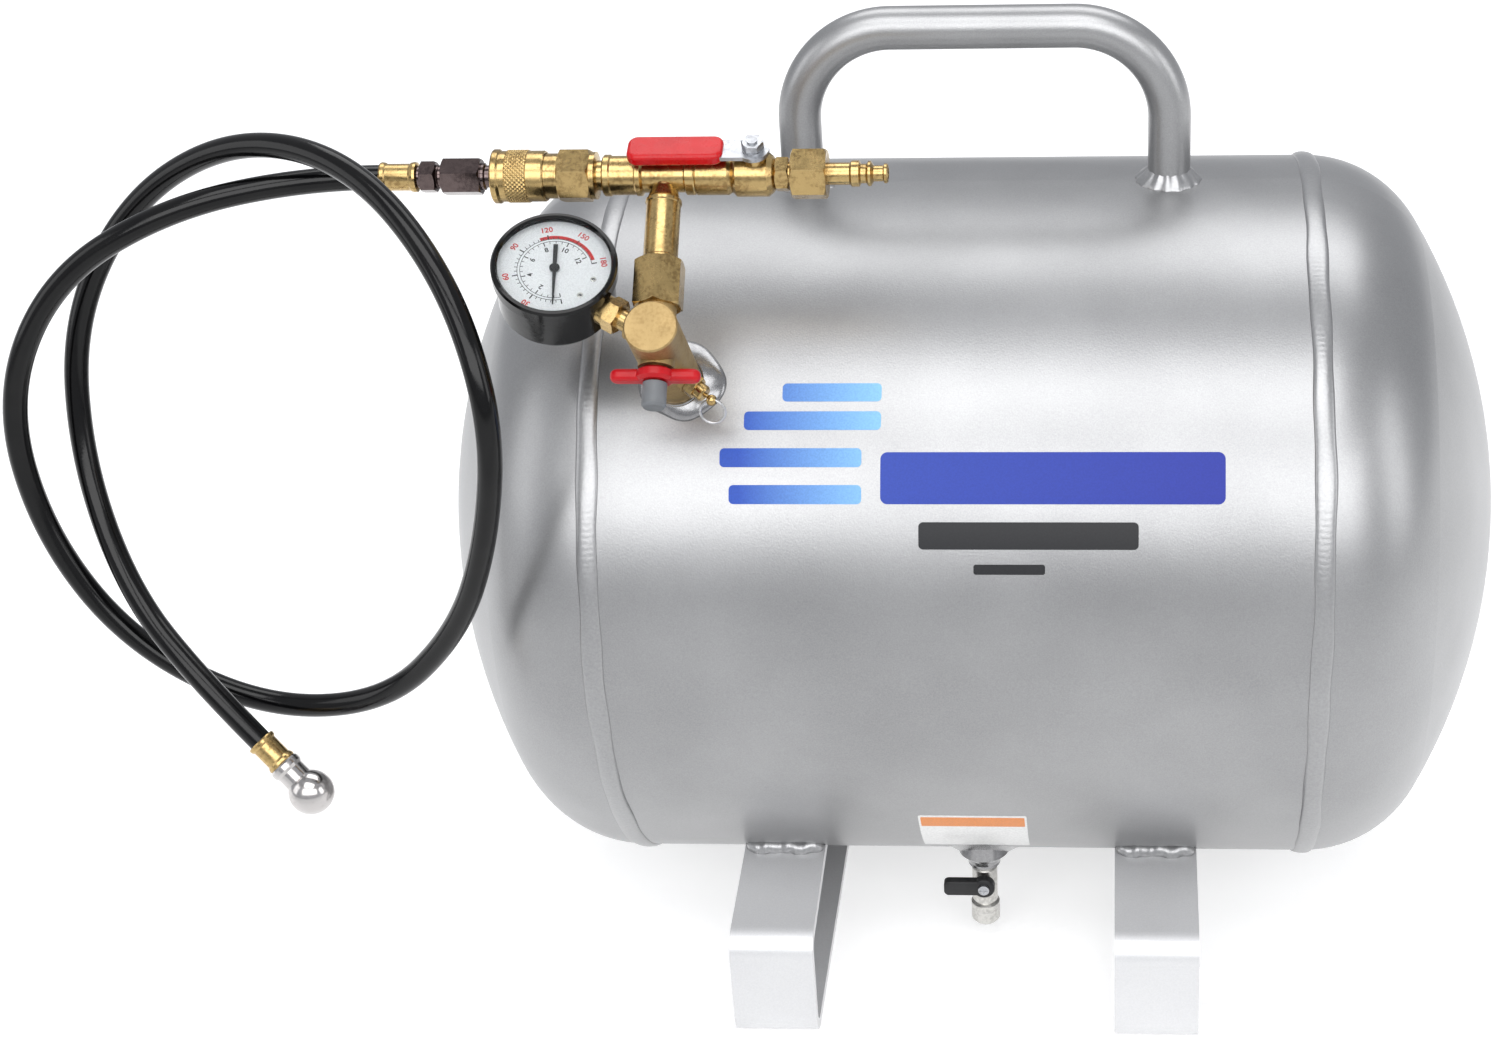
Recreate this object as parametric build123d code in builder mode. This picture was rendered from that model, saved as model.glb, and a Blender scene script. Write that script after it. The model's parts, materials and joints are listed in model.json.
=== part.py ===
"""Portable air receiver tank.

A welded aluminium tank on two strap feet, with a carrying handle, a drain valve below
and a brass manifold at the front: gauge, shut-off and fill valve, relief valve, ball
valve, quick coupler, hose and ball chuck.

Millimetres, +Z up. The origin is on the floor under the middle of the tank, and the
tank lies along X with its manifold on the -Y side.
"""
from build123d import *
import math
import os

# ---------------------------------------------------------------- tank
TANK_R = 165.0
WALL = 3.0
AXIS_HEIGHT = 187.5
SEAM_X = 155.0
ROOT_GAP = 2.0
CROWN_R = 264.0
KNUCKLE_R = 58.0
BEAD_WIDTH = 9.5
BEAD_PROUD = 1.8

# ---------------------------------------------------------------- feet and handle
FOOT_X = 87.0
STRAP_WIDTH = 38.0
STRAP_THICK = 5.0
FOOT_REACH = 173.5
FLANGE_DROP = 132.0
FLANGE_ROOT_Y = 108.0
FOOT_BEND_R = 9.0
FOOT_BEAD_R = 4.0
HANDLE_D = 19.0
HANDLE_WALL = 2.0
HANDLE_LEGS_X = (-73.0, 92.0)
HANDLE_RISE = 236.5
HANDLE_BEND_R = 42.0
HANDLE_BEAD_R = 15.0

# ---------------------------------------------------------------- manifold
MANIFOLD_X = -117.0
MANIFOLD_TILT = 46.0
BUNG_R = 12.0
BUNG_BORE_R = 7.0
BUNG_TOP = 169.0
BODY_R = 11.0
BODY_TOP = 231.0
PORT_LEVEL = 218.0
SHUTOFF_LEVEL = 214.0
RELIEF_LEVEL = 188.0
PASSAGE_R = 3.0
RISER_LENGTH = 72.0
RUN_BORE_R = 3.2
FIT = 0.05

# ---------------------------------------------------------------- gauge
GAUGE_PORT_ANGLE = 150.0
GAUGE_REACH = 49.0
GAUGE_TWIST = 15.0
BEZEL_R = 25.6
CASE_R = 24.0
CASE_DEPTH = 24.0
DIAL_DEPTH = 12.0
NEEDLE_STOP = 12.0

# ---------------------------------------------------------------- ball valve
VALVE_AT = 38.0
LEVER_TILT = 68.0
BALL_R = 6.0

# ---------------------------------------------------------------- drain
DRAIN_X = 6.0
DRAIN_Y = -96.0

# ---------------------------------------------------------------- hose
HOSE_D = 10.4
HOSE_ROUTE = [
    (-236, -99.6, 394.3), (-268, -99.6, 394.3), (-325, -115, 387), (-378, -120, 357),
    (-407, -124, 303), (-401, -129, 241), (-371, -132, 187), (-315, -138, 157),
    (-254, -148, 166), (-212, -163, 212), (-190, -177, 265), (-178, -188, 327),
    (-198, -160, 378), (-240, -126, 412), (-296, -98, 412), (-350, -85, 381),
    (-384, -92, 328), (-387, -107, 267), (-366, -134, 215), (-331, -158, 183),
    (-306, -167, 158.3),
]


def manifold_plane():
    """Plane at the tank's axis: z points out through the manifold, x along the tank."""
    tilt = math.radians(MANIFOLD_TILT)
    return Plane(
        origin=(MANIFOLD_X, 0, AXIS_HEIGHT),
        x_dir=(1, 0, 0),
        z_dir=(0, -math.cos(tilt), math.sin(tilt)),
    )


MANIFOLD = manifold_plane()


def port_plane(angle, level):
    """Plane of a side port: z points out of the manifold body at an angle from +x."""
    turn = math.radians(angle)
    out = MANIFOLD.x_dir * math.cos(turn) + MANIFOLD.y_dir * math.sin(turn)
    return Plane(
        origin=MANIFOLD.origin + MANIFOLD.z_dir * level,
        x_dir=MANIFOLD.z_dir,
        z_dir=out,
    )


RISER = port_plane(90, PORT_LEVEL)
SHUTOFF = port_plane(-90, SHUTOFF_LEVEL)
RELIEF = port_plane(-40, RELIEF_LEVEL)
GAUGE_PORT = port_plane(GAUGE_PORT_ANGLE, PORT_LEVEL)
RUN = Plane(origin=RISER.origin + RISER.z_dir * RISER_LENGTH, x_dir=(0, 0, 1), z_dir=(1, 0, 0))


def gauge_plane():
    """Plane of the dial: z out of the glass, y towards the scale's middle."""
    up = GAUGE_PORT.z_dir
    twist = math.radians(GAUGE_TWIST)
    face = MANIFOLD.z_dir * math.cos(twist) + MANIFOLD.z_dir.cross(up) * -math.sin(twist)
    middle = GAUGE_PORT.origin + up * GAUGE_REACH + face * DIAL_DEPTH
    return Plane(origin=middle, x_dir=up.cross(face), z_dir=face)


GAUGE = gauge_plane()
GAUGE_STEM = Plane(
    origin=GAUGE.origin - GAUGE.z_dir * DIAL_DEPTH, x_dir=GAUGE.z_dir, z_dir=-GAUGE.y_dir
)
LEVER_LEAN = math.radians(LEVER_TILT)
LEVER = Plane(
    origin=RUN.origin + RUN.z_dir * VALVE_AT,
    x_dir=(-1, 0, 0),
    z_dir=(0, -math.cos(LEVER_LEAN), math.sin(LEVER_LEAN)),
)
DRAIN = Plane(origin=(DRAIN_X, DRAIN_Y, AXIS_HEIGHT), x_dir=(1, 0, 0), z_dir=(0, 0, -1))
DRAIN_STEM = Plane(
    origin=DRAIN.origin + DRAIN.z_dir * 150.5, x_dir=(-1, 0, 0), z_dir=(0, -1, 0)
)
TANK_AXIS = Plane(origin=(0, 0, AXIS_HEIGHT), x_dir=(0, 0, 1), z_dir=(1, 0, 0))
HOSE_START = Vector(*HOSE_ROUTE[0])
HOSE_END = Vector(*HOSE_ROUTE[-1])
HOSE_END_DIR = (HOSE_END - Vector(*HOSE_ROUTE[-2])).normalized()
HOSE_TIP = Plane(origin=HOSE_END, x_dir=(0, 1, 0), z_dir=HOSE_END_DIR)


def turn(plane, profile, mode=Mode.ADD):
    """Turned form: (radius, height) points revolved about the plane's z axis."""
    section_plane = Plane(origin=plane.origin, x_dir=plane.x_dir, z_dir=-plane.y_dir)
    with BuildSketch(section_plane) as section:
        with BuildLine():
            Polyline(*profile, close=True)
        make_face()
    revolve(section.sketch, axis=Axis(plane.origin, plane.z_dir), mode=mode)


def rod(plane, radius, bottom, top, mode=Mode.ADD):
    """Round bar or bore between two heights on the plane's z axis."""
    with BuildSketch(plane.offset(bottom)) as section:
        Circle(radius)
    extrude(section.sketch, amount=top - bottom, mode=mode)


def hexagon(plane, flats, bottom, top):
    """Hexagon bar with both ends turned back at its corners."""
    corner = flats / math.sqrt(3)
    bevel = (corner - flats / 2) * 0.6
    with BuildPart() as bar:
        with BuildSketch(plane.offset(bottom)):
            RegularPolygon(flats / 2, 6, major_radius=False)
        extrude(amount=top - bottom)
        turn(
            plane,
            [
                (0, bottom), (flats / 2, bottom), (corner + 0.01, bottom + bevel),
                (corner + 0.01, top - bevel), (flats / 2, top), (0, top),
            ],
            mode=Mode.INTERSECT,
        )
    return bar.part


def cut_tank():
    """Cuts the tank's outer cylinder away, so that a piece sits on its surface."""
    rod(TANK_AXIS, TANK_R, -2 * SEAM_X, 2 * SEAM_X, mode=Mode.SUBTRACT)


def save(piece, name):
    piece.part.label = name
    export_step(piece.part, f"parts/{name}.step")


# ================================================================ tank
def make_shell():
    half = SEAM_X - ROOT_GAP / 2
    with BuildPart() as tank_shell:
        turn(TANK_AXIS, [
            (TANK_R - WALL, -half), (TANK_R, -half), (TANK_R, half), (TANK_R - WALL, half),
        ])
        rod(MANIFOLD, BUNG_R, TANK_R / 2, TANK_R * 1.1, mode=Mode.SUBTRACT)
        rod(DRAIN, 12.0, TANK_R / 2, TANK_R, mode=Mode.SUBTRACT)
    save(tank_shell, "tank_shell")


def make_heads():
    """Dished heads: a knuckle arc that runs tangent into a wider crown arc."""
    start = SEAM_X + ROOT_GAP / 2
    rise = math.sqrt((CROWN_R - KNUCKLE_R) ** 2 - (TANK_R - KNUCKLE_R) ** 2)
    crown_x = start - rise
    swing = math.degrees(math.atan2(rise, TANK_R - KNUCKLE_R))
    for side, name in ((-1, "head_left"), (1, "head_right")):
        plane = Plane(origin=(0, 0, AXIS_HEIGHT), x_dir=(side, 0, 0), z_dir=(0, -side, 0))
        with BuildPart() as head:
            with BuildSketch(plane):
                with BuildLine():
                    knuckle = CenterArc((start, TANK_R - KNUCKLE_R), KNUCKLE_R, 90, -swing)
                    crown = CenterArc((crown_x, 0), CROWN_R, 90 - swing, swing - 90)
                    inner_crown = CenterArc((crown_x, 0), CROWN_R - WALL, 0, 90 - swing)
                    inner_knuckle = CenterArc(
                        (start, TANK_R - KNUCKLE_R), KNUCKLE_R - WALL, 90 - swing, swing
                    )
                    Line(crown @ 1, inner_crown @ 0)
                    Line(inner_knuckle @ 1, knuckle @ 0)
                make_face()
            revolve(axis=Axis((0, 0, AXIS_HEIGHT), (1, 0, 0)))
        save(head, name)


def make_girth_welds():
    """Weld bead with its root between shell and head."""
    root = ROOT_GAP / 2
    top = TANK_R + BEAD_PROUD
    for side, name in ((-1, "girth_weld_left"), (1, "girth_weld_right")):
        middle = side * SEAM_X
        with BuildPart() as bead:
            turn(TANK_AXIS, [
                (TANK_R - WALL, middle - root), (TANK_R, middle - root),
                (TANK_R, middle - BEAD_WIDTH / 2), (top, middle - BEAD_WIDTH / 4),
                (top, middle + BEAD_WIDTH / 4), (TANK_R, middle + BEAD_WIDTH / 2),
                (TANK_R, middle + root), (TANK_R - WALL, middle + root),
            ])
        save(bead, name)


def make_feet():
    """Flat bar bent to a wide U, its two ends turned in to the tank."""
    reach = FOOT_REACH - STRAP_THICK / 2
    bend_z = AXIS_HEIGHT - FLANGE_DROP - STRAP_THICK / 2
    root_z = bend_z + 7.0
    bottom = STRAP_THICK / 2
    for side, name in ((-1, "foot_left"), (1, "foot_right")):
        plane = Plane.YZ.offset(side * FOOT_X - STRAP_WIDTH / 2)
        with BuildPart() as foot:
            with BuildSketch(plane):
                with BuildLine():
                    FilletPolyline(
                        (-FLANGE_ROOT_Y + 12, root_z), (-reach, bend_z), (-reach, bottom),
                        (reach, bottom), (reach, bend_z), (FLANGE_ROOT_Y - 12, root_z),
                        radius=FOOT_BEND_R,
                    )
                trace(line_width=STRAP_THICK)
            extrude(amount=STRAP_WIDTH)
            cut_tank()
            fillet(foot.edges().filter_by(Axis.X).group_by(Axis.Z)[-1], 1.0)
        save(foot, name)
        make_foot_weld(side, foot.part)


def make_foot_weld(side, foot):
    """Beads along the top of both turned-in ends."""
    name = "foot_weld_left" if side < 0 else "foot_weld_right"
    bead_z = AXIS_HEIGHT - math.sqrt(TANK_R**2 - FLANGE_ROOT_Y**2)
    with BuildPart() as bead:
        for front in (-1, 1):
            with BuildSketch(Plane.YZ.offset(side * FOOT_X - STRAP_WIDTH / 2 + 1)):
                with Locations((front * (FLANGE_ROOT_Y + 1.5), bead_z + 0.5)):
                    Circle(FOOT_BEAD_R)
            extrude(amount=STRAP_WIDTH - 2)
        cut_tank()
        add(foot, mode=Mode.SUBTRACT)
    save(bead, name)


def make_handle():
    left, right = HANDLE_LEGS_X
    top = AXIS_HEIGHT + HANDLE_RISE
    base = AXIS_HEIGHT + TANK_R - 4
    with BuildPart() as handle:
        with BuildLine():
            FilletPolyline(
                (left, 0, base), (left, 0, top), (right, 0, top), (right, 0, base),
                radius=HANDLE_BEND_R,
            )
        with BuildSketch(Plane.XY.offset(base)):
            with Locations((left, 0)):
                Circle(HANDLE_D / 2)
                Circle(HANDLE_D / 2 - HANDLE_WALL, mode=Mode.SUBTRACT)
        sweep()
        cut_tank()
    save(handle, "handle")

    with BuildPart() as handle_welds:
        for leg in HANDLE_LEGS_X:
            turn(Plane(origin=(leg, 0, AXIS_HEIGHT)), [
                (HANDLE_D / 2, TANK_R - 3), (HANDLE_BEAD_R, TANK_R - 3),
                (HANDLE_BEAD_R, TANK_R + 0.5), (HANDLE_D / 2 + 2, TANK_R + 4),
                (HANDLE_D / 2, TANK_R + 6),
            ])
        cut_tank()
    save(handle_welds, "handle_welds")


# ================================================================ manifold
def make_bung():
    with BuildPart() as manifold_bung:
        turn(MANIFOLD, [
            (BUNG_BORE_R, 159), (BUNG_R, 159), (BUNG_R, BUNG_TOP - 1),
            (BUNG_R - 1, BUNG_TOP), (BUNG_BORE_R, BUNG_TOP),
        ])
    save(manifold_bung, "manifold_bung")

    with BuildPart() as manifold_weld:
        turn(MANIFOLD, [(BUNG_R, 160), (17, 160), (17, 164.4), (15, 166.4), (BUNG_R, 167.6)])
        cut_tank()
    save(manifold_weld, "manifold_weld")


def make_manifold_body():
    with BuildPart() as manifold_body:
        turn(MANIFOLD, [
            (0, 160), (BUNG_BORE_R, 160), (BUNG_BORE_R, BUNG_TOP), (10.2, BUNG_TOP),
            (BODY_R, 176), (BODY_R, BODY_TOP - 0.6), (BODY_R - 0.6, BODY_TOP), (0, BODY_TOP),
        ])
        rod(RISER, 7.8, 4, 13)
        rod(GAUGE_PORT, 6.5, 4, 12)
        rod(SHUTOFF, 7.4, 4, 11.6)
        rod(RELIEF, 5.2, 4, 12.5)
        rod(MANIFOLD, PASSAGE_R, 160, PORT_LEVEL + 3, mode=Mode.SUBTRACT)
        rod(RISER, 2.8, 0, 13, mode=Mode.SUBTRACT)
        rod(RISER, 5.0, 8, 13, mode=Mode.SUBTRACT)
        rod(GAUGE_PORT, 1.8, 1, 13, mode=Mode.SUBTRACT)
        rod(GAUGE_PORT, 4.0, 6, 13, mode=Mode.SUBTRACT)
        rod(SHUTOFF, 2.4, 1, 13, mode=Mode.SUBTRACT)
        rod(SHUTOFF, 4.0, 4.5, 13, mode=Mode.SUBTRACT)
        rod(RELIEF, 1.6, 1, 13, mode=Mode.SUBTRACT)
        rod(RELIEF, 3.6, 6.5, 13, mode=Mode.SUBTRACT)
    save(manifold_body, "manifold_body")


def make_riser():
    nut = hexagon(RISER, 19, 13, 33)
    with BuildPart() as riser_coupler:
        add(nut)
        rod(RISER, 5.0, 8, 13)
        rod(RISER, PASSAGE_R, 8, 33, mode=Mode.SUBTRACT)
        rod(RISER, 6.4, 27, 33, mode=Mode.SUBTRACT)
    save(riser_coupler, "riser_coupler")

    with BuildPart() as riser_tube:
        turn(RISER, [
            (PASSAGE_R, 27), (6.4, 27), (6.4, 33), (7.6, 33), (7.6, 34.4), (7.1, 35),
            (7.1, 58.5), (7.5, 59), (7.5, 60.2), (6.8, 61), (4.4, 61), (4.4, 64.5),
            (PASSAGE_R, 64.5),
        ])
    save(riser_tube, "riser_tube")


def make_tee():
    with BuildPart() as tee:
        turn(RUN, [
            (0, -25.4), (8.0, -25.4), (8.6, -24.8), (8.6, -22.6), (8.1, -22), (8.1, -12),
            (8.6, -11.4), (8.6, -9.6), (7.2, -8.6), (7.2, 8.4), (8.3, 9.2), (8.3, 12.4),
            (7.9, 13), (0, 13),
        ])
        turn(RISER, [(0, 61), (6.8, 61), (5.2, 66), (5.0, RISER_LENGTH), (0, RISER_LENGTH)])
        rod(RUN, RUN_BORE_R, -26, 14, mode=Mode.SUBTRACT)
        rod(RUN, 5.5, -26, -16, mode=Mode.SUBTRACT)
        rod(RUN, 5.5, 5.5, 14, mode=Mode.SUBTRACT)
        rod(RISER, PASSAGE_R, 60, RISER_LENGTH, mode=Mode.SUBTRACT)
        rod(RISER, 4.4, 60, 64.5, mode=Mode.SUBTRACT)
    save(tee, "tee")


# ================================================================ ball valve
def make_ball_valve():
    neck = hexagon(RUN, 13, 46, 51.5)
    with BuildPart() as valve_body:
        turn(RUN, [
            (0, 5.5), (5.5, 5.5), (5.5, 13), (7.9, 13), (8.4, 13.6), (8.4, 26.5), (7.4, 28),
            (9.2, 30), (9.2, 43), (7.6, 45), (6.2, 46), (0, 46),
        ])
        add(neck)
        rod(RUN, 5.0, 51.5, 58)
        rod(LEVER, 4.6, 5, 11.6)
        rod(RUN, RUN_BORE_R, 5, 59, mode=Mode.SUBTRACT)
        with Locations(LEVER.location):
            Sphere(BALL_R + 0.3, mode=Mode.SUBTRACT)
        rod(LEVER, 2.5 + FIT, 0, 12, mode=Mode.SUBTRACT)
    save(valve_body, "valve_body")

    with BuildPart() as valve_ball:
        with Locations(LEVER.location):
            Sphere(BALL_R)
        rod(RUN, RUN_BORE_R, VALVE_AT - 8, VALVE_AT + 8, mode=Mode.SUBTRACT)
        with BuildSketch(LEVER.offset(4.4)):
            Rectangle(4.0, 1.6)
        extrude(amount=3, mode=Mode.SUBTRACT)
    save(valve_ball, "valve_ball")

    with BuildPart() as valve_stem:
        rod(LEVER, 2.5, 6.3, 12.3)
        rod(LEVER, 2.2, 12.3, 19.0)
        with BuildSketch(LEVER.offset(4.4)):
            Rectangle(4.0, 1.6)
        extrude(amount=2)
    save(valve_stem, "valve_stem")


def make_lever():
    with BuildPart() as valve_lever:
        with BuildSketch(LEVER.offset(12.3)):
            Circle(6.6)
            with Locations((8.5, 0)):
                Rectangle(13, 10.6)
            with Locations((28, 0)):
                RectangleRounded(44, 8.6, 2.5)
        extrude(amount=1.9)
        rod(LEVER, 2.2, 12, 15, mode=Mode.SUBTRACT)
    save(valve_lever, "valve_lever")

    with BuildPart() as valve_grip:
        with BuildSketch(LEVER.offset(10.6)):
            with Locations((32, 0)):
                RectangleRounded(39.5, 13.4, 4.2)
        extrude(amount=5.4)
        grip_ends = valve_grip.edges().group_by(Axis(LEVER.origin, LEVER.z_dir))
        fillet(grip_ends[0] + grip_ends[-1], 1.8)
        add(valve_lever.part, mode=Mode.SUBTRACT)
    save(valve_grip, "valve_grip")

    nut = hexagon(LEVER, 8, 14.9, 18.2)
    with BuildPart() as lever_nut:
        add(nut)
        rod(LEVER, 4.6, 14.2, 14.9)
        rod(LEVER, 2.2, 14, 19, mode=Mode.SUBTRACT)
    save(lever_nut, "lever_nut")


def make_outlet():
    bar = hexagon(RUN, 19, 52.6, 67.3)
    with BuildPart() as hex_adapter:
        add(bar)
        rod(RUN, RUN_BORE_R, 52, 68, mode=Mode.SUBTRACT)
        rod(RUN, 5.0, 52, 58, mode=Mode.SUBTRACT)
        rod(RUN, 3.8, 62, 68, mode=Mode.SUBTRACT)
    save(hex_adapter, "hex_adapter")

    with BuildPart() as plug_nipple:
        turn(RUN, [
            (2.4, 62), (3.8, 62), (3.8, 67.3), (4.6, 67.3), (4.6, 76.5), (5.4, 77.4),
            (5.4, 80.4), (4.0, 81.2), (4.0, 83.2), (5.2, 84.2), (5.2, 85.2), (3.3, 86.4),
            (3.3, 90.2), (4.1, 90.8), (4.1, 91.8), (3.5, 92.3), (2.4, 92.3),
        ])
    save(plug_nipple, "plug_nipple")


# ================================================================ quick coupler
def make_coupler():
    bar = hexagon(RUN, 20, -43.8, -30.4)
    with BuildPart() as coupler_body:
        add(bar)
        turn(RUN, [
            (0, -70.4), (7.7, -70.4), (7.7, -52), (9.3, -52), (9.3, -43.8), (0, -43.8),
        ])
        turn(RUN, [
            (0, -30.4), (9.8, -30.4), (9.8, -28.4), (6.2, -27.8), (6.2, -25.4), (5.5, -25.4),
            (5.5, -16), (0, -16),
        ])
        rod(RUN, 5.0, -71, -48, mode=Mode.SUBTRACT)
        rod(RUN, RUN_BORE_R, -49, -15, mode=Mode.SUBTRACT)
        for seat in ball_seats():
            rod(seat, 1.55, 4.0, 9.0, mode=Mode.SUBTRACT)
    save(coupler_body, "coupler_body")

    with BuildPart() as coupler_balls:
        with Locations(*[seat.offset(6.15).location for seat in ball_seats()]):
            Sphere(1.5)
    save(coupler_balls, "coupler_balls")

    with BuildPart() as coupler_sleeve:
        turn(RUN, [
            (7.8, -71.0), (10.6, -71.4), (11.2, -70.8), (11.2, -68.6), (10.5, -68),
            (10.5, -65.5), (10.9, -65.3), (10.9, -56.5), (10.5, -56.3), (10.5, -50),
            (10.1, -49.4), (9.65, -49.4), (9.65, -65), (7.8, -65),
        ])
    save(coupler_sleeve, "coupler_sleeve")

    pitch = 3.2
    with BuildPart() as coupler_spring:
        with BuildLine():
            coil = Helix(pitch=pitch, height=12.0, radius=8.65, center=RUN.offset(-64.5).origin,
                         direction=(1, 0, 0))
        with BuildSketch(Plane(origin=coil @ 0, z_dir=coil % 0)):
            Circle(0.45)
        sweep(is_frenet=True)
    save(coupler_spring, "coupler_spring")


def ball_seats():
    """Four radial planes round the run's axis for the coupler's locking balls."""
    seats = []
    for step in range(4):
        turn_angle = math.radians(45 + 90 * step)
        seats.append(Plane(
            origin=RUN.origin + RUN.z_dir * -67.8,
            x_dir=(1, 0, 0),
            z_dir=(0, math.cos(turn_angle), math.sin(turn_angle)),
        ))
    return seats


def make_hose_plug():
    bar = hexagon(RUN, 14, -92.8, -76.6)
    with BuildPart() as hose_plug:
        add(bar)
        turn(RUN, [
            (0, -94.4), (4.6, -94.4), (4.6, -92.8), (0, -92.8),
        ])
        turn(RUN, [
            (0, -76.6), (5.6, -76.6), (5.6, -75.2), (4.6, -74.6), (4.6, -73), (4.9, -72.6),
            (4.9, -69.8), (4.4, -69.3), (4.4, -66.3), (4.9, -65.8), (4.9, -56), (4.0, -52),
            (0, -52),
        ])
        rod(RUN, 2.6, -95, -50, mode=Mode.SUBTRACT)
    save(hose_plug, "hose_plug")

    small = hexagon(RUN, 12, -102.0, -95.6)
    with BuildPart() as hose_hex:
        add(small)
        turn(RUN, [(0, -95.6), (4.8, -95.6), (5.2, -95.0), (4.8, -94.4), (0, -94.4)])
        turn(RUN, [(0, -103.2), (4.6, -103.2), (4.6, -102), (0, -102)])
        rod(RUN, 2.6, -104, -94, mode=Mode.SUBTRACT)
    save(hose_hex, "hose_hex")


# ================================================================ gauge
def make_gauge():
    back = -CASE_DEPTH
    with BuildPart() as gauge_case:
        turn(GAUGE, [
            (0, back), (CASE_R - 2, back), (CASE_R - 0.6, back + 0.6), (CASE_R, back + 2),
            (CASE_R, -4.0), (CASE_R - 1, -4.0), (CASE_R - 1, back + 1.2), (0, back + 1.2),
        ])
        rod(GAUGE_STEM, 6.5, 15, 26, mode=Mode.SUBTRACT)
    save(gauge_case, "gauge_case")

    with BuildPart() as gauge_bezel:
        turn(GAUGE, [
            (CASE_R, -5.0), (BEZEL_R - 0.5, -5.0), (BEZEL_R, -4.4), (BEZEL_R, 0.4),
            (BEZEL_R - 0.7, 1.5), (BEZEL_R - 2.0, 1.8), (22.9, 0.8), (22.9, 0.2),
            (CASE_R, 0.2),
        ])
    save(gauge_bezel, "gauge_bezel")

    with BuildPart() as gauge_lens:
        turn(GAUGE, [(0, -1.0), (CASE_R, -1.0), (CASE_R, 0.2), (0, 0.2)])
    save(gauge_lens, "gauge_lens")

    with BuildPart() as gauge_dial:
        turn(GAUGE, [(0.8, -4.0), (CASE_R, -4.0), (CASE_R, -3.4), (0.8, -3.4)])
    save(gauge_dial, "gauge_dial")
    make_gauge_inside()
    make_needle()


def make_gauge_inside():
    bar = hexagon(GAUGE_STEM, 13, 26.2, 32)
    with BuildPart() as gauge_stem:
        add(bar)
        rod(GAUGE_STEM, 6.5, 15, 26.2)
        rod(GAUGE_STEM, 4.5, 32, 37)
        rod(GAUGE_STEM, 4.0, 37, 43)
        rod(GAUGE_STEM, 1.4, 17, 44, mode=Mode.SUBTRACT)
    save(gauge_stem, "gauge_stem")

    coil_plane = GAUGE.offset(-14)
    with BuildPart() as bourdon_tube:
        with BuildLine(coil_plane):
            CenterArc((0, 0), 15.0, -80, 250)
        with BuildSketch(Plane(origin=coil_plane.from_local_coords(polar(15, -80)),
                               x_dir=GAUGE.z_dir,
                               z_dir=coil_tangent(coil_plane, -80))):
            RectangleRounded(6, 1.8, 0.8)
        sweep()
        rod(GAUGE_STEM, 6.5, 12, 28, mode=Mode.SUBTRACT)
    save(bourdon_tube, "bourdon_tube")

    with BuildPart() as gauge_movement:
        with BuildSketch(GAUGE.offset(-8)):
            RectangleRounded(13, 17, 2)
        extrude(amount=0.8)
        with BuildSketch(GAUGE.offset(-20)):
            RectangleRounded(13, 17, 2)
        extrude(amount=0.8)
        for corner in ((-5, -6.5), (5, -6.5), (-5, 6.5), (5, 6.5)):
            with BuildSketch(GAUGE.offset(-20)):
                with Locations(corner):
                    Circle(0.9)
            extrude(amount=12)
        rod(GAUGE, 0.55, -21, -6, mode=Mode.SUBTRACT)
    save(gauge_movement, "gauge_movement")


def polar(radius, angle):
    turn_angle = math.radians(angle)
    return Vector(radius * math.cos(turn_angle), radius * math.sin(turn_angle), 0)


def coil_tangent(plane, angle):
    ahead = polar(1, angle + 90)
    return plane.x_dir * ahead.X + plane.y_dir * ahead.Y


def make_needle():
    """Pointer on its stop pin, just above the scale's zero."""
    zero = math.radians(90 + 135 - NEEDLE_STOP)
    along = GAUGE.x_dir * math.cos(zero) + GAUGE.y_dir * math.sin(zero)
    plane = Plane(origin=GAUGE.origin - GAUGE.z_dir * 2.3, x_dir=along, z_dir=GAUGE.z_dir)
    with BuildPart() as gauge_needle:
        with BuildSketch(plane):
            Polygon(
                (-11.5, -0.9), (-11.5, 0.9), (0, 0.8), (18, 0.25), (18, -0.25), (0, -0.8),
                align=None,
            )
            Circle(2.1)
        extrude(amount=0.4)
        rod(GAUGE, 1.1, -3.0, -1.3)
        rod(GAUGE, 0.5, -20.5, -2.3)
    save(gauge_needle, "gauge_needle")


# ================================================================ shut-off and fill valve
def make_shutoff():
    with BuildPart() as shutoff_stem:
        turn(SHUTOFF, [
            (0, 5.0), (4.0 - FIT, 5.0), (4.0 - FIT, 12.4), (3.0, 12.4), (3.0, 17.6), (2.7, 17.6),
            (2.7, 26.0), (2.2, 26.5), (0, 26.5),
        ])
        rod(SHUTOFF, 1.2, 4, 27, mode=Mode.SUBTRACT)
    save(shutoff_stem, "shutoff_stem")

    with BuildPart() as shutoff_handle:
        with BuildSketch(SHUTOFF.offset(12.4)):
            RectangleRounded(7.2, 37, 3.5)
        extrude(amount=5.2)
        arm_faces = shutoff_handle.faces().sort_by(Axis(SHUTOFF.origin, SHUTOFF.z_dir))
        fillet(arm_faces[0].edges() + arm_faces[-1].edges(), 2.2)
        turn(SHUTOFF, [
            (3.0, 12.4), (6.4, 12.4), (8.0, 13.6), (8.0, 16.4), (6.4, 17.6), (3.0, 17.6),
        ])
        rod(SHUTOFF, 3.0, 11, 19, mode=Mode.SUBTRACT)
    save(shutoff_handle, "shutoff_handle")

    with BuildPart() as dust_cap:
        turn(SHUTOFF, [
            (3.0, 18.2), (5.0, 18.2), (5.0, 27.6), (4.2, 28.6), (0, 28.6), (0, 27.2), (3.0, 27.2),
        ])
    save(dust_cap, "dust_cap")


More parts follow.
